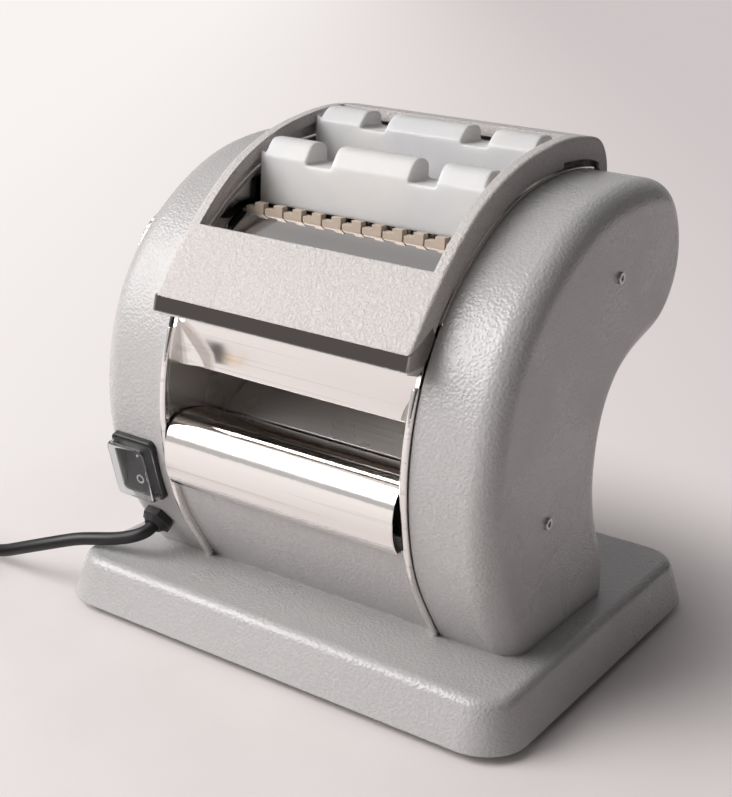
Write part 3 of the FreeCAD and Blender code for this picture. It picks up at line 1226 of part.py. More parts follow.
def build_drive():
    sheet_phase = 0.0
    main_phase = math.radians(2.0)
    front_phase = mesh_phase(SHEET_REAR, SHEET_TEETH, sheet_phase, SHEET_FRONT, SHEET_TEETH)
    wide_phase = mesh_phase(SHEET_REAR, MAIN_TEETH, main_phase, WIDE_REAR, WIDE_TEETH)
    narrow_phase = mesh_phase(SHEET_REAR, MAIN_TEETH, main_phase, NARROW_FRONT, NARROW_TEETH)
    pinion_phase = mesh_phase(SHEET_REAR, MAIN_TEETH, main_phase, PINION, PINION_TEETH)
    pair_phase = mesh_phase(WIDE_REAR, CUTTER_TEETH, 0.0, WIDE_FRONT, CUTTER_TEETH)
    narrow_pair = mesh_phase(NARROW_FRONT, CUTTER_TEETH, 0.0, NARROW_REAR, CUTTER_TEETH)
    far = GEAR_PLATE_X[1]
    write("sheeting_roller_rear", sheeting_roller(SHEET_REAR, far))
    write("sheeting_roller_front", sheeting_roller(SHEET_FRONT, SHEET_GEAR_X[1]))
    write("main_cluster_gear", cluster(SHEET_TEETH, SHEET_MODULE, SHEET_GEAR_X, SHEET_REAR, JOURNAL_R,
                                       sheet_phase, MAIN_TEETH, main_phase))
    write("sheeting_gear", gear(SHEET_TEETH, SHEET_MODULE, SHEET_GEAR_X, SHEET_FRONT, JOURNAL_R, front_phase))
    write("wide_cutter_rear", cutter(WIDE_REAR, WIDE_PITCH, 0.0, far))
    write("wide_cutter_front", cutter(WIDE_FRONT, WIDE_PITCH, WIDE_PITCH / 2, CUTTER_GEAR_X[1]))
    write("wide_cluster_gear", cluster(CUTTER_TEETH, CUTTER_MODULE, CUTTER_GEAR_X, WIDE_REAR,
                                       CUTTER_JOURNAL_R, 0.0, WIDE_TEETH, wide_phase))
    write("wide_gear", gear(CUTTER_TEETH, CUTTER_MODULE, CUTTER_GEAR_X, WIDE_FRONT, CUTTER_JOURNAL_R,
                            pair_phase))
    write("narrow_cutter_front", cutter(NARROW_FRONT, NARROW_PITCH, NARROW_PITCH / 2, far))
    write("narrow_cutter_rear", cutter(NARROW_REAR, NARROW_PITCH, 0.0, CUTTER_GEAR_X[1]))
    write("narrow_cluster_gear", cluster(CUTTER_TEETH, CUTTER_MODULE, CUTTER_GEAR_X, NARROW_FRONT,
                                         CUTTER_JOURNAL_R, 0.0, NARROW_TEETH, narrow_phase))
    write("narrow_gear", gear(CUTTER_TEETH, CUTTER_MODULE, CUTTER_GEAR_X, NARROW_REAR, CUTTER_JOURNAL_R,
                              narrow_pair))
    write("wide_combs", station_combs(WIDE_FRONT, WIDE_REAR, WIDE_PITCH))
    write("narrow_combs", station_combs(NARROW_FRONT, NARROW_REAR, NARROW_PITCH))
    write("roller_scrapers", roller_scrapers())
    write("shaft_bushes", Part.makeCompound(shaft_bushes().Solids + pinion_sleeve().Solids))
    write("gear_plate", gear_plate())
    write("pinion_shaft", pinion_shaft(pinion_phase))
    write("driven_pulley", pulley(PINION, DRIVEN_PULLEY_R, CUTTER_JOURNAL_R))
    write("motor_pulley", pulley(MOTOR, MOTOR_PULLEY_R, MOTOR_SHAFT_R))
    write("drive_belt", drive_belt())


build()
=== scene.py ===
# %% [markdown]
# # A countertop dough sheeter
# This lesson dresses a small motorised machine that rolls dough thin and cuts it into ribbons.
# Its solids come finished from CAD, each one in its place, and Blender adds what CAD can't hold:
# hammered paint, mirror-polished sheet, milky plastic, a flexible cord and the light of a studio.
# The solids could be modelled again by hand, but then the moving parts would no longer fit, so
# they stay as they are, and only what is soft, moulded or thin gets a mesh of its own.

# %% Load the machine
import json
import math

import bmesh
import bpy
from mathutils import Matrix, Vector

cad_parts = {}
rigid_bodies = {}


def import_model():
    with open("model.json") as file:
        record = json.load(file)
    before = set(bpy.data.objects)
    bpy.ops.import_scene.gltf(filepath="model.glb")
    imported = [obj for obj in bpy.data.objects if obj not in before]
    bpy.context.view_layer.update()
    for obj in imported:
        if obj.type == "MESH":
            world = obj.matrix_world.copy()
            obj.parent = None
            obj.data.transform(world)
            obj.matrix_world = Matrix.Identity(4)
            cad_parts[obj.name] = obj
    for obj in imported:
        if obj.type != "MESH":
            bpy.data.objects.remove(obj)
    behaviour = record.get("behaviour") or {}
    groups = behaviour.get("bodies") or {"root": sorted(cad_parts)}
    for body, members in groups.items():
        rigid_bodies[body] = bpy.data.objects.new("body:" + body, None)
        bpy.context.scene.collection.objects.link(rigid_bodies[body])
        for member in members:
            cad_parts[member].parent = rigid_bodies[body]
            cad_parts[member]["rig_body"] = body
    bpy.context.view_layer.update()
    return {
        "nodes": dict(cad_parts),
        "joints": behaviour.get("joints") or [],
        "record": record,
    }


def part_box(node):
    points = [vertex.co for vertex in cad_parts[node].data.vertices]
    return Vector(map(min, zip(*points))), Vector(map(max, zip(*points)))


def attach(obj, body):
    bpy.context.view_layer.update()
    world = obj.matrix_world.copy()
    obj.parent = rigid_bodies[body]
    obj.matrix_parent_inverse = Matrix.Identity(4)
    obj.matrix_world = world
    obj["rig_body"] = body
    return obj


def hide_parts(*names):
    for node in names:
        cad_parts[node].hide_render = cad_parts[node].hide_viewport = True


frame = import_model()
nodes = frame["nodes"]
MM = 0.001


def place(x, y, z):
    """A point given in millimetres."""
    return Vector((x, y, z)) * MM


# %% [markdown]
# ## The camera
# The camera is the first thing made, because the cord below may only be coiled where the camera
# doesn't look. It could be aimed with a constraint, but a matrix built from two angles and a roll
# is exact and has nothing that can change later.

# %% Camera
CAMERA_AT = place(423.2, -677.4, 409.2)
CAMERA_TURN = math.radians(33.08)
CAMERA_DROP = math.radians(19.31)
CAMERA_ROLL = math.radians(2.75)
LENS = 65.44


def make_camera():
    """Camera that looks back along the turn and drop, with its small roll."""
    back = Vector((math.sin(CAMERA_TURN) * math.cos(CAMERA_DROP),
                   -math.cos(CAMERA_TURN) * math.cos(CAMERA_DROP), math.sin(CAMERA_DROP)))
    right = Vector((math.cos(CAMERA_TURN), math.sin(CAMERA_TURN), 0))
    up = back.cross(right)
    level = Matrix((right, up, back)).transposed().to_4x4()
    camera = bpy.data.objects.new("camera", bpy.data.cameras.new("camera"))
    camera.data.lens = LENS
    camera.matrix_world = Matrix.Translation(CAMERA_AT) @ level @ Matrix.Rotation(CAMERA_ROLL, 4, "Z")
    bpy.context.scene.collection.objects.link(camera)
    bpy.context.scene.camera = camera
    return camera


camera = make_camera()
print("camera at", tuple(round(v, 3) for v in camera.location))

# %% [markdown]
# ## The mains cord
# A mains lead is a fixed length of something springy, so it is one curve from end to end: out of its
# gland, off the base, along the table, and then wound into a neat coil as for storage. Its loose stretch
# could be dropped by a simulation, but a lead keeps the bends it was given in use, so a few listed guide
# points describe it better.

# %% Loose stretch of the cord
CORD_R = 3.9 * MM
ROUTE = [
    (-105.0, -88.55, 51.06), (-105.0, -92.5, 48.5), (-108.0, -97.6, 46.2), (-115.0, -100.3, 43.1),
    (-126.0, -101.8, 39.4), (-137.5, -103.8, 36.9), (-150.0, -107.4, 34.4), (-164.0, -111.2, 29.4),
    (-179.0, -113.8, 23.6), (-194.0, -114.2, 17.2), (-209.5, -112.5, 10.2), (-225.5, -108.6, 5.2),
    (-241.0, -105.3, 3.95), (-257.2, -102.1, 3.95)]
print("loose stretch:", len(ROUTE), "guide points")

# %% [markdown]
# ### The coil
# The turns lie as a careful hand winds them. Two and a half turns lie on the table, and each one
# moves inward by one cord near its end. The lead then climbs into the groove between the two
# inner turns, and later crosses outward over a turn into the next groove. A plain helix would be
# shorter to write, but its turns would stand on nothing.

# %% Coil
COIL_AT = place(-267.0, -152.0, 0)
COIL_R = 43.0 * MM
COIL_TURNS = 4.5
POINTS_PER_TURN = 14
SHIFT_FROM = 0.80
CLIMB = (2.6, 2.8)
CROSSING = (3.53, 3.75)
TABLE_GAP = 0.05 * MM


def ease(value, start, end):
    """0 before start, 1 after end, and a smooth step between."""
    share = min(max((value - start) / (end - start), 0.0), 1.0)
    return share * share * (3 - 2 * share)


def turn_radius_and_height(turns):
    """Distance from the coil's middle and height of the cord's middle after so many turns."""
    step = 2 * CORD_R
    shift = ease(turns % 1, SHIFT_FROM, 1.0)
    low = CORD_R + TABLE_GAP
    if turns < 2:
        return COIL_R + step * (1 - int(turns) - shift), low
    if turns < CLIMB[0]:
        return COIL_R - step, low
    if turns < CLIMB[1]:
        roll = math.radians(60) * ease(turns, *CLIMB)
        return COIL_R - step * math.cos(roll), low + step * math.sin(roll)
    outward = ease(turns, *CROSSING)
    groove = math.sqrt(0.75) * step
    hump = (step - groove) * 4 * (shift * (1 - shift) + outward * (1 - outward))
    return COIL_R + step * (outward - 0.5), low + groove + hump


print("coil's first radius and height, m:", [round(v, 4) for v in turn_radius_and_height(0)])

# %% [markdown]
# The winding is known at every share of a turn now, so a loop can lay the guide points round the
# coil. The last three points lead into the plug, level with its middle and along its axis.

# %% Guide points of the whole cord
PLUG_TURN = math.radians(2)
PLUG_HEADING = Vector((math.cos(PLUG_TURN), math.sin(PLUG_TURN), 0))
PLUG_ENTRY = place(-241.23, -198.03, 13.0)


def coil_points():
    """Points of the wound turns, counter-clockwise from where the lead arrives."""
    arrival = place(*ROUTE[-1]) - COIL_AT
    start = math.atan2(arrival.y, arrival.x)
    # A smooth curve cuts inside its guide points, so they stand this much further out.
    spread = 1 / math.cos(math.pi / POINTS_PER_TURN)
    points = []
    for i in range(1, int(COIL_TURNS * POINTS_PER_TURN) + 1):
        turns = i / POINTS_PER_TURN
        radius, height = turn_radius_and_height(turns)
        angle = start + 2 * math.pi * turns
        points.append(COIL_AT + Vector((math.cos(angle), math.sin(angle), 0)) * radius * spread
                      + Vector((0, 0, height)))
    return points


into_plug = [PLUG_ENTRY - PLUG_HEADING * 11 * MM - place(0, 0, 0.8), PLUG_ENTRY,
             PLUG_ENTRY + PLUG_HEADING * 6 * MM]
cord_points = [place(*p) for p in ROUTE] + coil_points() + into_plug
print("cord points:", len(cord_points))

# %% [markdown]
# ### One smooth curve
# A Bezier curve needs two handles at each point, and a polyline shows its corners. A NURBS spline
# stays smooth however few points guide it, and a round bevel gives it the lead's thickness.


# %% Cord curve
def nurbs_curve(name, points, radius):
    """Smooth tube along guide points, or a bare line where the radius is 0."""
    data = bpy.data.curves.new(name, "CURVE")
    data.dimensions = "3D"
    spline = data.splines.new("NURBS")
    spline.points.add(len(points) - 1)
    for guide, point in zip(spline.points, points):
        guide.co = (*point, 1.0)
        guide.radius = max(radius, 0.1 * MM)
    spline.order_u = 3
    spline.use_endpoint_u = True
    spline.resolution_u = 10
    data.bevel_depth = 1.0 if radius else 0.0
    data.bevel_resolution = 8
    data.use_fill_caps = True
    obj = bpy.data.objects.new(name, data)
    bpy.context.scene.collection.objects.link(obj)
    return obj


cord = nurbs_curve("mains_lead", cord_points, CORD_R)
print("cord's spline points:", len(cord.data.splines[0].points))

# %% [markdown]
# ### Its length
# The real lead has a fixed length, so the smooth line is measured and its length printed. A curve has no
# length of its own to read, but turned into a mesh without its bevel it is a row of short edges, which
# can be added up.


def measured_length(points):
    """Length of the smooth line through guide points."""
    probe = nurbs_curve("probe", points, 0.0)
    bpy.context.view_layer.update()
    line = bpy.data.meshes.new_from_object(probe)
    total = sum((line.vertices[a].co - line.vertices[b].co).length
                for a, b in (e.vertices for e in line.edges))
    bpy.data.meshes.remove(line)
    bpy.data.objects.remove(probe)
    return total


print("cord length, m:", round(measured_length(cord_points), 3))
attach(cord, "frame")
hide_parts("mains_cord", "cord_coil")

# %% [markdown]
# ## Small tools for materials
# Every finish is a node tree. Written out node by node a tree is hard to read, so one helper makes
# a node, sets its values and plugs in its links. Colours are given as on a screen, from 0 to 255,
# and turned into the linear values that light is reckoned in.


# %% Nodes and links
def linear(red, green, blue):
    """Screen colour as linear colour with full alpha."""
    return tuple((v / 255) ** 2.2 for v in (red, green, blue)) + (1.0,)


def plug(tree, socket, value):
    """Link another node's output to a socket, or set a plain value on it."""
    if isinstance(value, bpy.types.NodeSocket):
        tree.links.new(value, socket)
    else:
        socket.default_value = value


def add(tree, kind, inputs=None, **settings):
    """A new node with its settings, and with its inputs by name or number."""
    made = tree.nodes.new("ShaderNode" + kind)
    for key, value in settings.items():
        setattr(made, key, value)
    for key, value in (inputs or {}).items():
        plug(tree, made.inputs[key], value)
    return made


def new_group(name, inputs, outputs):
    """Empty shader group with named sockets; returns its tree, input node and output node."""
    tree = bpy.data.node_groups.new(name, "ShaderNodeTree")
    for label, kind, value in inputs:
        socket = tree.interface.new_socket(name=label, in_out="INPUT", socket_type="NodeSocket" + kind)
        if value is not None:
            socket.default_value = value
    for label, kind in outputs:
        tree.interface.new_socket(name=label, in_out="OUTPUT", socket_type="NodeSocket" + kind)
    return tree, tree.nodes.new("NodeGroupInput"), tree.nodes.new("NodeGroupOutput")


def use(tree, group, inputs):
    """The outputs of a group that is placed in a material."""
    return add(tree, "Group", inputs, node_tree=group).outputs


print("helpers for nodes ready")

# %% [markdown]
# A sum on sockets is a node as well. Each of the next helpers adds one such node and returns its
# result, so that a formula reads from the inside out, as in plain Python.


# %% Sums, ranges and mixes
def calc(tree, operation, *values):
    """Result of a sum on numbers."""
    return add(tree, "Math", dict(enumerate(values)), operation=operation).outputs[0]


def vector_calc(tree, operation, *vectors, output="Vector"):
    """Result of a sum on vectors."""
    return add(tree, "VectorMath", dict(enumerate(vectors)), operation=operation).outputs[output]


def scaled(tree, vector, factor):
    """Vector times a number."""
    return add(tree, "VectorMath", {0: vector, "Scale": factor}, operation="SCALE").outputs[0]


def ranged(tree, value, low, high, to_low=0.0, to_high=1.0):
    """Value spread from one range over another."""
    return add(tree, "MapRange", {"Value": value, "From Min": low, "From Max": high,
                                  "To Min": to_low, "To Max": to_high}).outputs["Result"]


def eased(tree, value, low, high):
    """0 at one end of a range, 1 at the other, with a smooth step between."""
    return add(tree, "MapRange", {"Value": value, "From Min": low, "From Max": high},
               interpolation_type="SMOOTHSTEP").outputs["Result"]


def blended(tree, factor, a, b):
    """Mix of two colours. The Mix node has sockets for other types too, so these go by number."""
    color_a, color_b, result = 6, 7, 2
    mix = add(tree, "Mix", {"Factor": factor}, data_type="RGBA")
    plug(tree, mix.inputs[color_a], a)
    plug(tree, mix.inputs[color_b], b)
    return mix.outputs[result]


print("helpers for sums ready")

# %% [markdown]
# The last helpers make what nearly every finish needs: a noise, a bump, and the material with its
# shader. What is the same all over a surface is set on the shader itself, and only what varies is
# linked to it, so that other programs can read the finish too.


# %% Noise, bumps and shaders
def noise(tree, position, scale, detail, roughness=0.5, distortion=0.0):
    """Outputs of a fractal noise."""
    return add(tree, "TexNoise", {"Vector": position, "Scale": scale, "Detail": detail,
                                  "Roughness": roughness, "Distortion": distortion}).outputs


def axes(tree, vector):
    """X, Y and Z of a vector."""
    return add(tree, "SeparateXYZ", {0: vector}).outputs


def bumped(tree, height, strength, depth, normal=None):
    """Normal bent by a height that is so deep in metres, on top of another normal if one is given."""
    made = add(tree, "Bump", {"Height": height, "Strength": strength, "Distance": depth})
    if normal is not None:
        tree.links.new(normal, made.inputs["Normal"])
    return made.outputs["Normal"]


def new_finish(name, color, roughness, metallic=0.0, more=None):
    """New material; returns it with its tree, its shader and the object coordinates."""
    material = bpy.data.materials.new(name)
    material.use_nodes = True
    tree = material.node_tree
    shader = tree.nodes["Principled BSDF"]
    values = {"Base Color": color, "Roughness": roughness, "Metallic": metallic, **(more or {})}
    for key, value in values.items():
        shader.inputs[key].default_value = value
    where = add(tree, "TexCoord").outputs["Object"]
    return material, tree, shader, where


def wire(tree, shader, **links):
    """Plug sockets into the shader, with _ for a space in their names."""
    for key, socket in links.items():
        tree.links.new(socket, shader.inputs[key.replace("_", " ")])


print("helpers for finishes ready")

# %% [markdown]
# ## Effects that several finishes share
# An effect that more than one finish uses is a node group: built once, with named inputs, and
# placed in each material with its own values. Copying the nodes would work too, but then each
# later change has to be made in every copy.
#
# **Hammer dimples.** Hammered paint shrinks into shallow rounded cells with soft ridges between.
# Smooth Voronoi cells on slightly bent coordinates look like that, with finer noise on top. Plain
# cells without the bend look like tiles.


# %% Hammer dimples group
def hammer_dimples():
    """Height of the dimples, and a mask of the ridges between them."""
    tree, given, out = new_group(
        "hammer dimples",
        [("Position", "Vector", None), ("Cells per metre", "Float", 640.0), ("Bend", "Float", 0.5)],
        [("Height", "Float"), ("Ridge", "Float")])
    given = given.outputs
    cell_space = scaled(tree, given["Position"], given["Cells per metre"])
    drift = noise(tree, cell_space, scale=0.9, detail=2.0)["Color"]
    centred = vector_calc(tree, "SUBTRACT", drift, (0.5, 0.5, 0.5))
    bent = vector_calc(tree, "ADD", cell_space, scaled(tree, centred, given["Bend"]))
    cells = add(tree, "TexVoronoi", {"Vector": bent, "Scale": 1.0, "Smoothness": 0.75},
                feature="SMOOTH_F1")
    ridge = ranged(tree, cells.outputs["Distance"], 0.1, 0.7)
    fine = noise(tree, cell_space, scale=2.2, detail=2.0, roughness=0.45)["Fac"]
    tree.links.new(calc(tree, "MULTIPLY_ADD", fine, 0.55, ridge), out.inputs["Height"])
    tree.links.new(ridge, out.inputs["Ridge"])
    return tree


HAMMER = hammer_dimples()
print("group:", HAMMER.name)

# %% [markdown]
# **Wrinkle grain.** The pale paint of the hood is rougher: a crumpled grain of several sizes.
# Fractal noise has the sizes, and folding it about its middle makes the creases.


# %% Wrinkle grain group
def wrinkle_grain():
    """Height of a crumpled grain, and a finer speckle for its colour."""
    tree, given, out = new_group(
        "wrinkle grain",
        [("Position", "Vector", None), ("Grains per metre", "Float", 340.0)],
        [("Height", "Float"), ("Speckle", "Float")])
    given = given.outputs
    grain_space = scaled(tree, given["Position"], given["Grains per metre"])
    crumple = noise(tree, grain_space, scale=1.0, detail=4.0, roughness=0.55, distortion=0.35)["Fac"]
    folded = calc(tree, "ABSOLUTE", calc(tree, "SUBTRACT", crumple, 0.5))
    speckle = noise(tree, grain_space, scale=2.6, detail=2.0)["Fac"]
    tree.links.new(ranged(tree, folded, 0.0, 0.16), out.inputs["Height"])
    tree.links.new(ranged(tree, speckle, 0.35, 0.65), out.inputs["Speckle"])
    return tree


GRAIN = wrinkle_grain()
print("group:", GRAIN.name)

# %% [markdown]
# **Drawn lines.** Rolled and brushed metal carries long thin scratches. Noise that is stretched
# along one axis makes them without a single drawn line, and a coarser noise picks out the few
# deeper ones.


# %% Drawn lines group
def drawn_lines():
    """Fine lines side by side, and a mask of the few deeper scratches."""
    tree, given, out = new_group(
        "drawn lines",
        [("Position", "Vector", None), ("Lines per metre", "Vector", (20.0, 2500.0, 2500.0))],
        [("Lines", "Float"), ("Scratches", "Float")])
    given = given.outputs
    line_space = vector_calc(tree, "MULTIPLY", given["Position"], given["Lines per metre"])
    lines = noise(tree, line_space, scale=1.0, detail=3.0, roughness=0.6)["Fac"]
    rare = noise(tree, line_space, scale=0.35, detail=1.0)["Fac"]
    tree.links.new(ranged(tree, lines, 0.3, 0.7), out.inputs["Lines"])
    tree.links.new(ranged(tree, rare, 0.62, 0.72), out.inputs["Scratches"])
    return tree


LINES = drawn_lines()
print("group:", LINES.name)

# %% [markdown]
# **Handling.** Nothing stays evenly glossy: hands and cloths leave patches. They could be painted
# one by one, but large soft noise shifts the gloss as well, and on every piece at once.


# %% Handling group
def handling():
    """Gloss that varies from a base by a spread, and the patches that it varies with."""
    tree, given, out = new_group(
        "handling",
        [("Position", "Vector", None), ("Patches per metre", "Float", 18.0), ("Base", "Float", 0.3),
         ("Spread", "Float", 0.1)],
        [("Gloss", "Float"), ("Patch", "Float")])
    given = given.outputs
    patch_space = scaled(tree, given["Position"], given["Patches per metre"])
    cloud = noise(tree, patch_space, scale=1.0, detail=4.0, distortion=0.6)["Fac"]
    patch = ranged(tree, cloud, 0.35, 0.65)
    tree.links.new(calc(tree, "MULTIPLY_ADD", patch, given["Spread"], given["Base"]), out.inputs["Gloss"])
    tree.links.new(patch, out.inputs["Patch"])
    return tree


HANDLING = handling()
print("group:", HANDLING.name)

# %% [markdown]
# ** Soft edge.** A CAD edge is infinitely sharp, and a real one catches light. A bevel modifier would change the mesh, so the Bevel node bends only the normal near an edge. Comparing it with the true normal gives a mask of the edges, used for wear and, on the dark band, for a painted highlight.


# %% Soft edge group
def soft_edge():
    """Normal that is rounded over a radius at each edge, and a mask of the edge itself."""
    tree, given, out = new_group(
        "soft edge", [("Radius", "Float", 0.8 * MM)], [("Normal", "Vector"), ("Wear and highlight", "Float")])
    rounded = add(tree, "Bevel", {"Radius": given.outputs["Radius"]}, samples=6).outputs["Normal"]
    true = add(tree, "NewGeometry").outputs["Normal"]
    likeness = vector_calc(tree, "DOT_PRODUCT", rounded, true, output="Value")
    tree.links.new(rounded, out.inputs["Normal"])
    tree.links.new(ranged(tree, likeness, 0.995, 0.85), out.inputs["Wear and highlight"])
    return tree


EDGE = soft_edge()
print("group:", EDGE.name)

# %% [markdown]
# **Settled dust.** Dust and flour lie on what faces up, in patches, so the mask is the upward
# share of the normal times a cloud.


# %% Settled dust group
DUST_TONE = linear(214, 209, 202)


def settled_dust():
    """Colour with dust on what faces up, and the mask of that dust."""
    tree, given, out = new_group(
        "settled dust",
        [("Position", "Vector", None), ("Color", "Color", (0.5, 0.5, 0.5, 1)), ("Amount", "Float", 0.1)],
        [("Color", "Color"), ("Dust", "Float")])
    given = given.outputs
    up = ranged(tree, axes(tree, add(tree, "NewGeometry").outputs["Normal"])["Z"], 0.4, 1.0)
    cloud = noise(tree, given["Position"], scale=60.0, detail=6.0)["Fac"]
    lies = calc(tree, "MULTIPLY", up, ranged(tree, cloud, 0.4, 0.7))
    dust = calc(tree, "MULTIPLY", lies, given["Amount"])
    tree.links.new(blended(tree, dust, given["Color"], DUST_TONE), out.inputs["Color"])
    tree.links.new(dust, out.inputs["Dust"])
    return tree


DUST = settled_dust()
print("group:", DUST.name)

# %% [markdown]
# ## Paint
# The casings, the base and both panels wear silver-grey hammered paint: glossy, with shallow dimples
# about one and a half millimetres across. Their ridges are painted a little paler than their middles, a
# painted shade in the hollows. It could be one flat colour with a bump, but the light then breaks up too
# evenly, so gloss and colour vary as well. A thin clear coat follows the same bumps.


# %% Hammered paint
def hammered_paint():
    """Silver-grey paint with hammer dimples under a clear coat."""
    material, tree, shader, where = new_finish(
        "hammered_grey", linear(182, 180, 180), roughness=0.30, more={"Coat Roughness": 0.12})
    dimples = use(tree, HAMMER, {"Position": where})
    wiped = use(tree, HANDLING, {"Position": where, "Base": 0.25, "Spread": 0.08})
    edge = use(tree, EDGE, {"Radius": 0.9 * MM})
    # Painted shade: the middles of the dimples are painted a little darker than the ridges.
    tone = blended(tree, dimples["Ridge"], linear(178, 176, 176), linear(185, 183, 183))
    dusty = use(tree, DUST, {"Position": where, "Color": tone, "Amount": 0.06})
    normal = bumped(tree, dimples["Height"], strength=0.60, depth=0.3 * MM, normal=edge["Normal"])
    coat = ranged(tree, wiped["Patch"], 0.0, 1.0, to_low=0.40, to_high=0.20)
    wire(tree, shader, Base_Color=dusty["Color"], Roughness=wiped["Gloss"], Normal=normal,
         Coat_Weight=coat, Coat_Normal=normal)
    return material


FINISHES = {"hammered_paint": hammered_paint()}
print("finishes:", len(FINISHES))

# %% [markdown]
# The hood has a paler, rougher coat without the clear layer. Its grain is the crumpled one, and
# its colour is speckled more finely than that. A scanned surface could give both, but it would
# repeat, and noise never does.


# %% Pale hood paint
def hood_paint():
    """Pale, dull paint with a crumpled grain."""
    material, tree, shader, where = new_finish("pale_textured", linear(206, 201, 199), roughness=0.55)
    grain = use(tree, GRAIN, {"Position": where})
    edge = use(tree, EDGE, {"Radius": 0.7 * MM})
    tone = blended(tree, grain["Speckle"], linear(197, 191, 189), linear(212, 208, 206))
    dusty = use(tree, DUST, {"Position": where, "Color": tone, "Amount": 0.10})
    wiped = use(tree, HANDLING, {"Position": where, "Base": 0.48, "Spread": 0.12})
    normal = bumped(tree, grain["Height"], strength=0.65, depth=0.4 * MM, normal=edge["Normal"])
    wire(tree, shader, Base_Color=dusty["Color"], Roughness=wiped["Gloss"], Normal=normal)
    return material


FINISHES["textured_paint"] = hood_paint()
print("finishes:", len(FINISHES))

# %% [markdown]
# ## Metals
# The metals differ in how they were made. The apron and the shroud are polished sheet, almost a
# mirror, with faint wipe marks. A plain glossy metal would do from far away, but close up the
# gloss has to drift a little and the folded edges have to be round.


# %% Polished sheet
def polished_sheet(name, color, shine, bend=0.4 * MM, bent_below=1.0):
    """Mirror-polished sheet; its edges under a height are rounded over a radius and take a pale grey edge
    colour, a little wear on pale sheet and a painted highlight on dark sheet.
    """
    material, tree, shader, where = new_finish(name, linear(*color), roughness=shine, metallic=1.0)
    wiped = use(tree, HANDLING, {"Position": where, "Patches per metre": 30.0, "Base": shine,
                                 "Spread": 0.05})
    lines = use(tree, LINES, {"Position": where, "Lines per metre": (14.0, 900.0, 900.0)})
    edge = use(tree, EDGE, {"Radius": bend})
    low = ranged(tree, axes(tree, where)["Z"], bent_below, bent_below - 0.5 * MM)
    rounded = blended(tree, low, add(tree, "NewGeometry").outputs["Normal"], edge["Normal"])
    normal = bumped(tree, lines["Lines"], strength=0.005, depth=0.1 * MM, normal=rounded)
    duller = tuple(v * 0.94 for v in color)
    tone = blended(tree, lines["Scratches"], linear(*color), linear(*duller))
    # Low edges are painted pale grey: on the dark band a painted highlight, on the pale sheet a little
    # wear.
    tone = blended(tree, calc(tree, "MULTIPLY", edge["Wear and highlight"], low), tone, linear(232, 228, 226))
    wire(tree, shader, Base_Color=tone, Roughness=wiped["Gloss"], Normal=normal)
    return material


FINISHES["polished_steel"] = polished_sheet("polished_sheet", (247, 243, 240), shine=0.08)
print("finishes:", len(FINISHES))

# %% [markdown]
# The band under the hood's front edge is the same sheet, but it looks down into the shaded inside of the
# machine, and its face is painted dark as a painted reflection of that shade. The cheeks at its two ends
# are painted paler, a painted reflection too, and the fold at its foot carries a painted highlight. Three
# materials would need the faces to be sorted by hand. One material that looks at its place, measured from
# the band's own box, needs none of that.

# %% Folded band with painted reflections and a painted highlight
BAND_LOW, BAND_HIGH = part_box("hood_band")
BEND_TOP = BAND_LOW.z + 7.0 * MM
# Top of the painted highlight on the band's folded foot.
FOLD_HIGHLIGHT_TOP = BAND_LOW.z + 4.0 * MM
CHEEK_START = BAND_HIGH.x - 1.4 * MM
CHEEK_FULL = BAND_HIGH.x - 0.8 * MM
# Blur of that painted highlight's upper border.
FOLD_HIGHLIGHT_BLUR = 0.5 * MM


def painted_light_band():
    """Painted dark reflection between two cheeks painted paler, all with a painted highlight on the
    folded lower edge.
    """
    # The dark base colour is a painted reflection of the shaded inside of the machine.
    material = polished_sheet(
        "band_painted_dark_reflection", (112, 105, 104), shine=0.06, bend=1.6 * MM, bent_below=BEND_TOP)
    tree = material.node_tree
    shader = tree.nodes["Principled BSDF"]
    tone = shader.inputs["Base Color"].links[0].from_socket
    spot = axes(tree, add(tree, "TexCoord").outputs["Object"])
    # Painted reflection: the cheeks at both ends are painted paler than the dark face.
    cheek = ranged(tree, calc(tree, "ABSOLUTE", spot["X"]), CHEEK_START, CHEEK_FULL)
    tone = blended(tree, cheek, tone, linear(186, 180, 177))
    # Painted highlight: the band's lowest few millimetres are painted near white.
    fold = ranged(tree, spot["Z"], FOLD_HIGHLIGHT_TOP + FOLD_HIGHLIGHT_BLUR, FOLD_HIGHLIGHT_TOP - FOLD_HIGHLIGHT_BLUR)
    wire(tree, shader, Base_Color=blended(tree, fold, tone, linear(250, 247, 244)))
    return material


OWN_FINISHES = {"hood_band": painted_light_band()}
print("band's fold, mm:", round(FOLD_HIGHLIGHT_TOP / MM, 1))

# %% [markdown]
# Plates are brushed along one axis. Rollers and shafts are ground while they turn, so their lines
# run around the axle. Gears are darker and oily, screws are plated, and bearings are bronze. They
# are all one finish with other lines, so one function makes them. Anisotropic gloss could replace
# the lines, but it needs a tangent on every face, and the lines look right without it.


# %% Lined metals
def lined_metal(name, color, roughness, lines_per_metre, relief=0.12, metallic=1.0):
    """Metal with lines along one axis; lines_per_metre is small along the lines."""
    material, tree, shader, where = new_finish(name, linear(*color), roughness, metallic)
    lines = use(tree, LINES, {"Position": where, "Lines per metre": lines_per_metre})
    wiped = use(tree, HANDLING, {"Position": where, "Base": roughness, "Spread": 0.12})
    edge = use(tree, EDGE, {"Radius": 0.5 * MM})
    normal = bumped(tree, lines["Lines"], strength=relief, depth=0.2 * MM, normal=edge["Normal"])
    bright = tuple(min(v * 1.08, 255) for v in color)
    tone = blended(tree, edge["Wear and highlight"], linear(*color), linear(*bright))
    wire(tree, shader, Base_Color=tone, Roughness=wiped["Gloss"], Normal=normal)
    return material


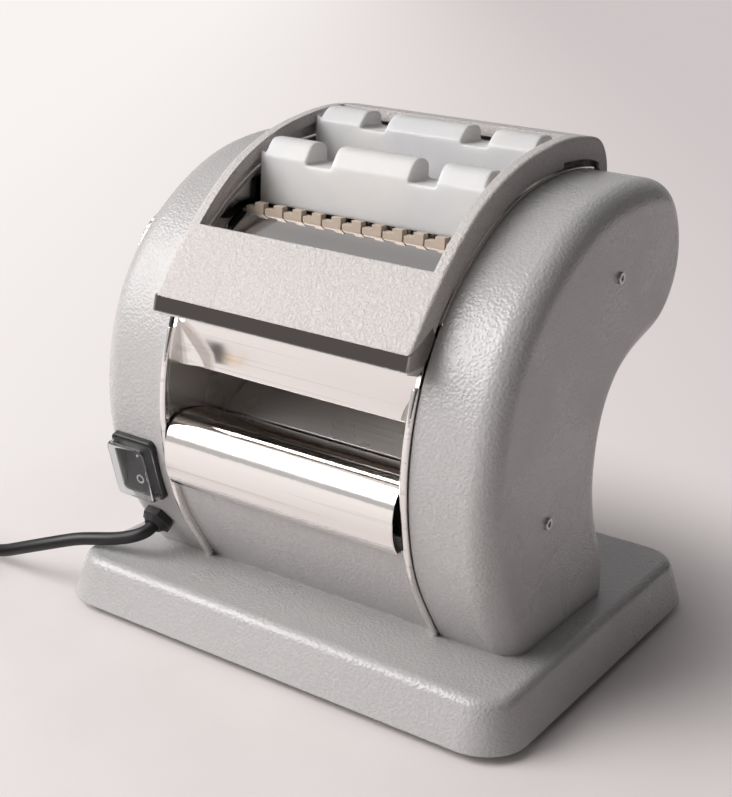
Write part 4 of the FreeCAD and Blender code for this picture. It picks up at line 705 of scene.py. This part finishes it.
AROUND_X = (2600.0, 12.0, 12.0)
UP_DOWN = (2200.0, 2200.0, 14.0)
ALONG_SLIDE = (5.0, 420.0, 420.0)
bright_plate = lined_metal("bright_plate", (222, 219, 216), 0.16, UP_DOWN, relief=0.05)
OWN_FINISHES["right_side_plate"] = bright_plate
OWN_FINISHES["left_side_plate"] = bright_plate
OWN_FINISHES["delivery_slide"] = lined_metal(
    "streaked_slide", (240, 234, 230), 0.24, ALONG_SLIDE, relief=0.35, metallic=0.55)
FINISHES["plate_steel"] = lined_metal("brushed_plate", (182, 182, 181), 0.28, UP_DOWN)
FINISHES["gear_steel"] = lined_metal("gear_metal", (128, 128, 130), 0.32, AROUND_X)
FINISHES["roller_chrome"] = lined_metal("ground_rollers", (212, 211, 209), 0.14, AROUND_X, relief=0.06)
FINISHES["brass_metal"] = lined_metal("bearing_bronze", (196, 162, 104), 0.26, AROUND_X)
FINISHES["screw_steel"] = lined_metal("plated_screws", (186, 186, 188), 0.24, AROUND_X)
print("finishes:", len(FINISHES))

# %% [markdown]
# Castings are dull and grainy, because they keep the skin of the mould. The crumpled grain at
# twice its density gives that skin, and only the edges are rubbed bright.


# %% Cast metal
def cast_metal():
    """Dull casting with a fine skin and rubbed edges."""
    material, tree, shader, where = new_finish(
        "cast_metal", linear(176, 177, 178), roughness=0.5, metallic=1.0)
    grain = use(tree, GRAIN, {"Position": where, "Grains per metre": 700.0})
    edge = use(tree, EDGE, {"Radius": 0.8 * MM})
    normal = bumped(tree, grain["Height"], strength=0.25, depth=0.2 * MM, normal=edge["Normal"])
    tone = blended(tree, edge["Wear and highlight"], linear(172, 173, 174), linear(206, 206, 206))
    wire(tree, shader, Base_Color=tone, Normal=normal)
    return material


FINISHES["cast_aluminium"] = cast_metal()
print("finishes:", len(FINISHES))

# %% [markdown]
# ## Plastics and rubber
# The feed guards are milky: light enters, scatters and leaves softened. Plain transparency would
# show what is behind them too sharply, so they get subsurface scattering with a little
# transmission.


# %% Milky plastic
def milky_plastic():
    """Cloudy plastic that lets a little light through."""
    body = {"Subsurface Weight": 0.6, "Subsurface Radius": (1.0, 1.0, 1.0),
            "Subsurface Scale": 6.0 * MM, "Transmission Weight": 0.20, "IOR": 1.4}
    material, tree, shader, where = new_finish(
        "milky_guard", linear(244, 244, 245), roughness=0.4, more=body)
    wiped = use(tree, HANDLING, {"Position": where, "Base": 0.36, "Spread": 0.14})
    grain = use(tree, GRAIN, {"Position": where, "Grains per metre": 900.0})
    normal = bumped(tree, grain["Height"], strength=0.05, depth=0.2 * MM)
    cloud = blended(tree, wiped["Patch"], linear(240, 240, 243), linear(255, 251, 247))
    wire(tree, shader, Base_Color=cloud, Roughness=wiped["Gloss"], Normal=normal)
    return material


FINISHES["milky_plastic"] = milky_plastic()
print("finishes:", len(FINISHES))

# %% [markdown]
# The side guides and the splash cap of the switch are clear. They are thin, so their refraction
# is set a little weak, and only their gloss varies.


# %% Clear plastic
def clear_plastic():
    """Clear moulding with wiped gloss."""
    clear = {"Transmission Weight": 1.0, "IOR": 1.3}
    material, tree, shader, where = new_finish(
        "clear_plastic", linear(240, 242, 243), roughness=0.08, more=clear)
    wiped = use(tree, HANDLING, {"Position": where, "Base": 0.03, "Spread": 0.06})
    wire(tree, shader, Roughness=wiped["Gloss"])
    return material


FINISHES["clear_plastic"] = clear_plastic()
print("finishes:", len(FINISHES))

# %% [markdown]
# Opaque mouldings show the fine spark-eroded grain of their mould and paler edges where they are
# rubbed. Rubber is the same thing, duller, with a deeper grain and more dust, so one function
# makes both.


# %% Moulded plastics and rubber
def moulded(name, color, roughness, relief=0.12, dust=0.05):
    """Opaque plastic or rubber with a fine moulded grain."""
    material, tree, shader, where = new_finish(name, linear(*color), roughness)
    grain = use(tree, GRAIN, {"Position": where, "Grains per metre": 1500.0})
    edge = use(tree, EDGE, {"Radius": 0.5 * MM})
    wiped = use(tree, HANDLING, {"Position": where, "Base": roughness, "Spread": 0.12})
    paler = tuple(min(v + 14, 255) for v in color)
    tone = blended(tree, edge["Wear and highlight"], linear(*color), linear(*paler))
    dusty = use(tree, DUST, {"Position": where, "Color": tone, "Amount": dust})
    normal = bumped(tree, grain["Height"], strength=relief, depth=0.1 * MM, normal=edge["Normal"])
    wire(tree, shader, Base_Color=dusty["Color"], Roughness=wiped["Gloss"], Normal=normal)
    return material


FINISHES["cream_plastic"] = moulded("cream_comb", (190, 174, 158), 0.42)
FINISHES["black_plastic"] = moulded("black_moulding", (27, 26, 28), 0.34)
FINISHES["rocker_plastic"] = moulded("rocker_black", (28, 28, 30), 0.24, relief=0.05)
FINISHES["black_rubber"] = moulded("black_rubber", (38, 38, 38), 0.62, relief=0.25, dust=0.15)
FINISHES["cord_rubber"] = moulded("cord_sheath", (22, 20, 22), 0.40, relief=0.10, dust=0.03)
FINISHES["capacitor_can"] = moulded("capacitor_case", (196, 195, 190), 0.45)
print("finishes:", len(FINISHES))

# %% [markdown]
# ## Dressing the solids
# The record names a material slot for every node, so one loop dresses them all. Four pieces that
# show have a finish of their own, which is put in after it.


# %% Dress the solids
def dress(obj, slot):
    """Give an object the finish of a material slot."""
    obj.data.materials.clear()
    obj.data.materials.append(FINISHES[slot])


for part in frame["record"]["subparts"]:
    dress(nodes[part["node"]], part["material_slot"])
for node, own in OWN_FINISHES.items():
    nodes[node].data.materials[0] = own
dress(cord, "cord_rubber")
print("dressed:", len(nodes), "solids,", len(OWN_FINISHES), "with a finish of their own")

# %% [markdown]
# ## Moulded guards
# The two guards are thin plastic mouldings with soft corners everywhere. Their solids have sharp
# ones. Bevelling each edge by hand would take long, so the solid is copied, rebuilt as an even net
# of small faces and smoothed a little, which rounds all its edges as a mould does.

# %% Rounded mouldings
GUARD_NET = 0.7 * MM
SMOOTHING_PASSES = 5


def moulding(name, node, slot):
    """Copy of a CAD node with all its edges rounded, in its place."""
    obj = bpy.data.objects.new(name, nodes[node].data.copy())
    bpy.context.scene.collection.objects.link(obj)
    net = obj.modifiers.new("net", "REMESH")
    net.mode = "VOXEL"
    net.voxel_size = GUARD_NET
    net.use_smooth_shade = True
    soften = obj.modifiers.new("soften", "CORRECTIVE_SMOOTH")
    soften.iterations = SMOOTHING_PASSES
    soften.use_only_smooth = True
    soften.smooth_type = "SIMPLE"
    bpy.context.view_layer.objects.active = obj
    for step in (net.name, soften.name):
        bpy.ops.object.modifier_apply(modifier=step)
    dress(obj, slot)
    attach(obj, nodes[node]["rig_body"])
    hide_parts(node)
    print(name, "faces:", len(obj.data.polygons))


for guard in ("front_guard", "rear_guard"):
    moulding(guard + "_moulding", guard, "milky_plastic")

# %% [markdown]
# ## Marks on the switch
# A circle and a bar are printed on the rocker for off and on. They could be painted by a texture,
# but thin printed shapes stay sharp at any distance and turn with the rocker. The rocker's pivot
# and its travel come from its joint, and at rest it is tipped by half that travel.

# %% Place and size of the marks
switch_joint = next(joint for joint in frame["joints"] if joint["name"] == "power_switch")
SWITCH_AT = Vector(switch_joint["pos_m"])
SWITCH_TILT = math.radians(106.9)
ROCKER_REST = -math.radians(switch_joint["range_deg"][1]) / 2
INK_FROM = 1.87 * MM
INK_DEEP = 0.11 * MM
RING_AT = -8.5 * MM
RING_INSIDE = 1.8 * MM
RING_OUTSIDE = 2.8 * MM
RING_POINTS = 40
BAR_HALF_WIDTH = 0.7 * MM
BAR_START = 6.0 * MM
BAR_END = 11.0 * MM


def ring_corners(shape, radius):
    """Corners of a circle round the ring's middle."""
    angles = [2 * math.pi * i / RING_POINTS for i in range(RING_POINTS)]
    return [shape.verts.new((radius * math.cos(a), RING_AT + radius * math.sin(a), INK_FROM))
            for a in angles]


print("rocker pivot, m:", tuple(round(v, 4) for v in SWITCH_AT))

# %% [markdown]
# The ring and the bar are drawn flat in the rocker's own plane and raised by the thickness of the
# ink. The finished mesh is then turned to the rocker's place.


# %% Rocker marks
def rocker_marks():
    """Thin printed ring and bar that ride on the rocker."""
    shape = bmesh.new()
    inner = ring_corners(shape, RING_INSIDE)
    outer = ring_corners(shape, RING_OUTSIDE)
    for i in range(RING_POINTS):
        j = (i + 1) % RING_POINTS
        shape.faces.new((inner[i], outer[i], outer[j], inner[j]))
    bar = [(-BAR_HALF_WIDTH, BAR_START), (BAR_HALF_WIDTH, BAR_START),
           (BAR_HALF_WIDTH, BAR_END), (-BAR_HALF_WIDTH, BAR_END)]
    shape.faces.new([shape.verts.new((x, y, INK_FROM)) for x, y in bar])
    raised = bmesh.ops.extrude_face_region(shape, geom=shape.faces[:])
    tops = [v for v in raised["geom"] if isinstance(v, bmesh.types.BMVert)]
    bmesh.ops.translate(shape, vec=(0, 0, INK_DEEP), verts=tops)
    bmesh.ops.recalc_face_normals(shape, faces=shape.faces[:])
    mesh = bpy.data.meshes.new("rocker_marks")
    shape.to_mesh(mesh)
    shape.free()
    marks = bpy.data.objects.new("rocker_marks", mesh)
    marks.matrix_world = (Matrix.Translation(SWITCH_AT) @ Matrix.Rotation(SWITCH_TILT, 4, "X")
                          @ Matrix.Rotation(ROCKER_REST, 4, "X"))
    bpy.context.scene.collection.objects.link(marks)
    marks.data.materials.append(moulded("printed_ink", (228, 228, 226), 0.5))
    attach(marks, "power_rocker")
    return marks


marks = rocker_marks()
print("marks:", len(marks.data.polygons), "faces")

# %% [markdown]
# ## Studio
# A pale seamless floor carries the machine and fills the view. Its own colour makes the pale background,
# not extra light, so the object keeps its tones. Near the machine the floor is lit paper that holds the
# shadow; further away it goes over to a painted tone that glows for the camera and in reflections. That
# tone is painted light, which fades the outer part of the shadow, and painted shade, a little darker on
# the right where the lamp's light falls off. Without that the paper would grow dim where the lamp doesn't
# reach.

# %% Floor paper
# Painted shade darkens the floor's painted tone along this way, and between these distances the painted
# light takes over from the lit paper and its shadow.
DARKER_WAY = (0.84, 0.55, 0.0)
DARKER_SPREAD = 0.75
LIT_WITHIN = 0.155
PAINTED_TONE_BEYOND = 0.36


def painted_light_tone(tree, where):
    """Glow in a painted tone: painted light on the bright side, going over to painted shade on the darker
    one.
    """
    across = vector_calc(tree, "DOT_PRODUCT", where, DARKER_WAY, output="Value")
    side = eased(tree, across, -DARKER_SPREAD, DARKER_SPREAD)
    tone = blended(tree, side, linear(249, 243, 241), linear(205, 197, 197))
    return add(tree, "Emission", {"Color": tone, "Strength": 1.0})


def floor_material():
    """Pale paper; far from the machine it shows a painted tone, whatever light still reaches it, which
    paints light over the outer shadow.
    """
    material, tree, shader, where = new_finish(
        "studio_floor", linear(236, 229, 228), roughness=0.85, more={"Specular IOR Level": 0.2})
    cloud = ranged(tree, noise(tree, where, scale=14.0, detail=5.0)["Fac"], 0.3, 0.7)
    wire(tree, shader, Base_Color=blended(tree, cloud, linear(234, 227, 226), linear(239, 232, 231)))
    glow = painted_light_tone(tree, where)
    away = vector_calc(tree, "LENGTH", where, output="Value")
    # Painted light: beyond these distances the painted glow replaces the lit paper and its shadow for
    # camera, glossy and transmission rays.
    far = eased(tree, away, LIT_WITHIN, PAINTED_TONE_BEYOND)
    path = add(tree, "LightPath").outputs
    seen = calc(tree, "MAXIMUM", path["Is Camera Ray"], path["Is Glossy Ray"])
    seen = calc(tree, "MAXIMUM", seen, path["Is Transmission Ray"])
    both = add(tree, "MixShader", {0: calc(tree, "MULTIPLY", far, seen), 1: shader.outputs[0],
                                   2: glow.outputs[0]})
    tree.links.new(both.outputs[0], tree.nodes["Material Output"].inputs["Surface"])
    return material


FLOOR_PAPER = floor_material()
print("floor paper:", FLOOR_PAPER.name)

# %% [markdown]
# The floor is one round face, so wide that its edge is always far behind the machine. A square
# would do as well, but its corners are further away than its sides.

# %% Floor
FLOOR_R = 14.0


def make_floor():
    """Round floor, which isn't part of the machine."""
    mesh = bpy.data.meshes.new("floor")
    shape = bmesh.new()
    bmesh.ops.create_circle(shape, cap_ends=True, segments=64, radius=FLOOR_R)
    shape.to_mesh(mesh)
    shape.free()
    floor = bpy.data.objects.new("floor", mesh)
    bpy.context.scene.collection.objects.link(floor)
    floor.data.materials.append(FLOOR_PAPER)
    return floor


floor = make_floor()
print("floor:", len(floor.data.vertices), "corners")

# %% [markdown]
# ### The room
# Polished metal shows the room more than it shows the lamp. The room is dark, which draws the
# dark streaks in the polished sheet, with a paler wall on the front left, a paler ceiling and a
# backdrop behind. Walls could be built for that, but a world whose tone differs from one side of
# the room to the other does it with no walls in the way of the lamp.

# %% Room
ROOM_TONE = (0.064, 0.061, 0.061, 1)
# Each pale area: its direction, where its soft border starts, where it is full, and its tone.
CEILING = ((-0.45, 0.10, 0.90), 0.45, 1.0, (0.28, 0.278, 0.28, 1))
BACKDROP = ((-0.50, 0.84, 0.22), 0.55, 0.98, (0.42, 0.41, 0.41, 1))
WALL = ((-0.62, -0.70, 0.15), 0.35, 0.95, (0.50, 0.49, 0.485, 1))


def make_room():
    """Dark room whose pale areas are laid over it one after the other."""
    world = bpy.data.worlds.new("room")
    bpy.context.scene.world = world
    world.use_nodes = True
    tree = world.node_tree
    way = add(tree, "TexCoord").outputs["Generated"]
    tone = ROOM_TONE
    for direction, starts, full, pale in (CEILING, BACKDROP, WALL):
        near = vector_calc(tree, "DOT_PRODUCT", way, Vector(direction).normalized(), output="Value")
        tone = blended(tree, eased(tree, near, starts, full), tone, pale)
    background = tree.nodes["Background"]
    tree.links.new(tone, background.inputs["Color"])
    background.inputs["Strength"].default_value = 1.0
    return world


world = make_room()
print("world:", world.name)

# %% [markdown]
# ### The lamp
# One large softbox stands high on the front left and does nearly all the work. Its cloth dims
# towards the border, as a real one does, so that its reflection in polished sheet has soft ends.
# A second lamp could fill the shadows, but the room does that already.

# %% Lamp
LAMP_AT = Vector((-1.30, -1.32, 1.48))
LAMP_AIM = Vector((0.0, 0.0, 0.12))
LAMP_SIZE = (2.9, 2.7)
LAMP_POWER = 158.0
LAMP_COLOR = (1.0, 0.988, 0.98)
CLOTH_BORDER = 0.28
CLOTH_FALL = 3.0


def dim_towards_border(tree):
    """Strength that is full in the middle of the cloth and falls to nothing at its border."""
    spot = axes(tree, add(tree, "NewGeometry").outputs["Parametric"])
    level = 1.0
    for axis in ("X", "Y"):
        off_middle = calc(tree, "ABSOLUTE", calc(tree, "SUBTRACT", spot[axis], 0.5))
        level = calc(tree, "MULTIPLY", eased(tree, off_middle, 0.5, 0.5 - CLOTH_BORDER), level)
    tree.links.new(calc(tree, "POWER", level, CLOTH_FALL), tree.nodes["Emission"].inputs["Strength"])


def make_lamp(name):
    """Large lamp aimed at the machine."""
    light = bpy.data.lights.new(name, "AREA")
    light.shape = "RECTANGLE"
    light.size, light.size_y = LAMP_SIZE
    light.energy = LAMP_POWER
    light.color = LAMP_COLOR
    light.use_nodes = True
    dim_towards_border(light.node_tree)
    obj = bpy.data.objects.new(name, light)
    obj.location = LAMP_AT
    obj.rotation_euler = (LAMP_AIM - LAMP_AT).to_track_quat("-Z", "Y").to_euler()
    bpy.context.scene.collection.objects.link(obj)
    return obj


lamp = make_lamp("softbox")
bpy.context.scene.view_settings.view_transform = "Standard"
print("lamp:", lamp.name, "with", lamp.data.energy, "W")
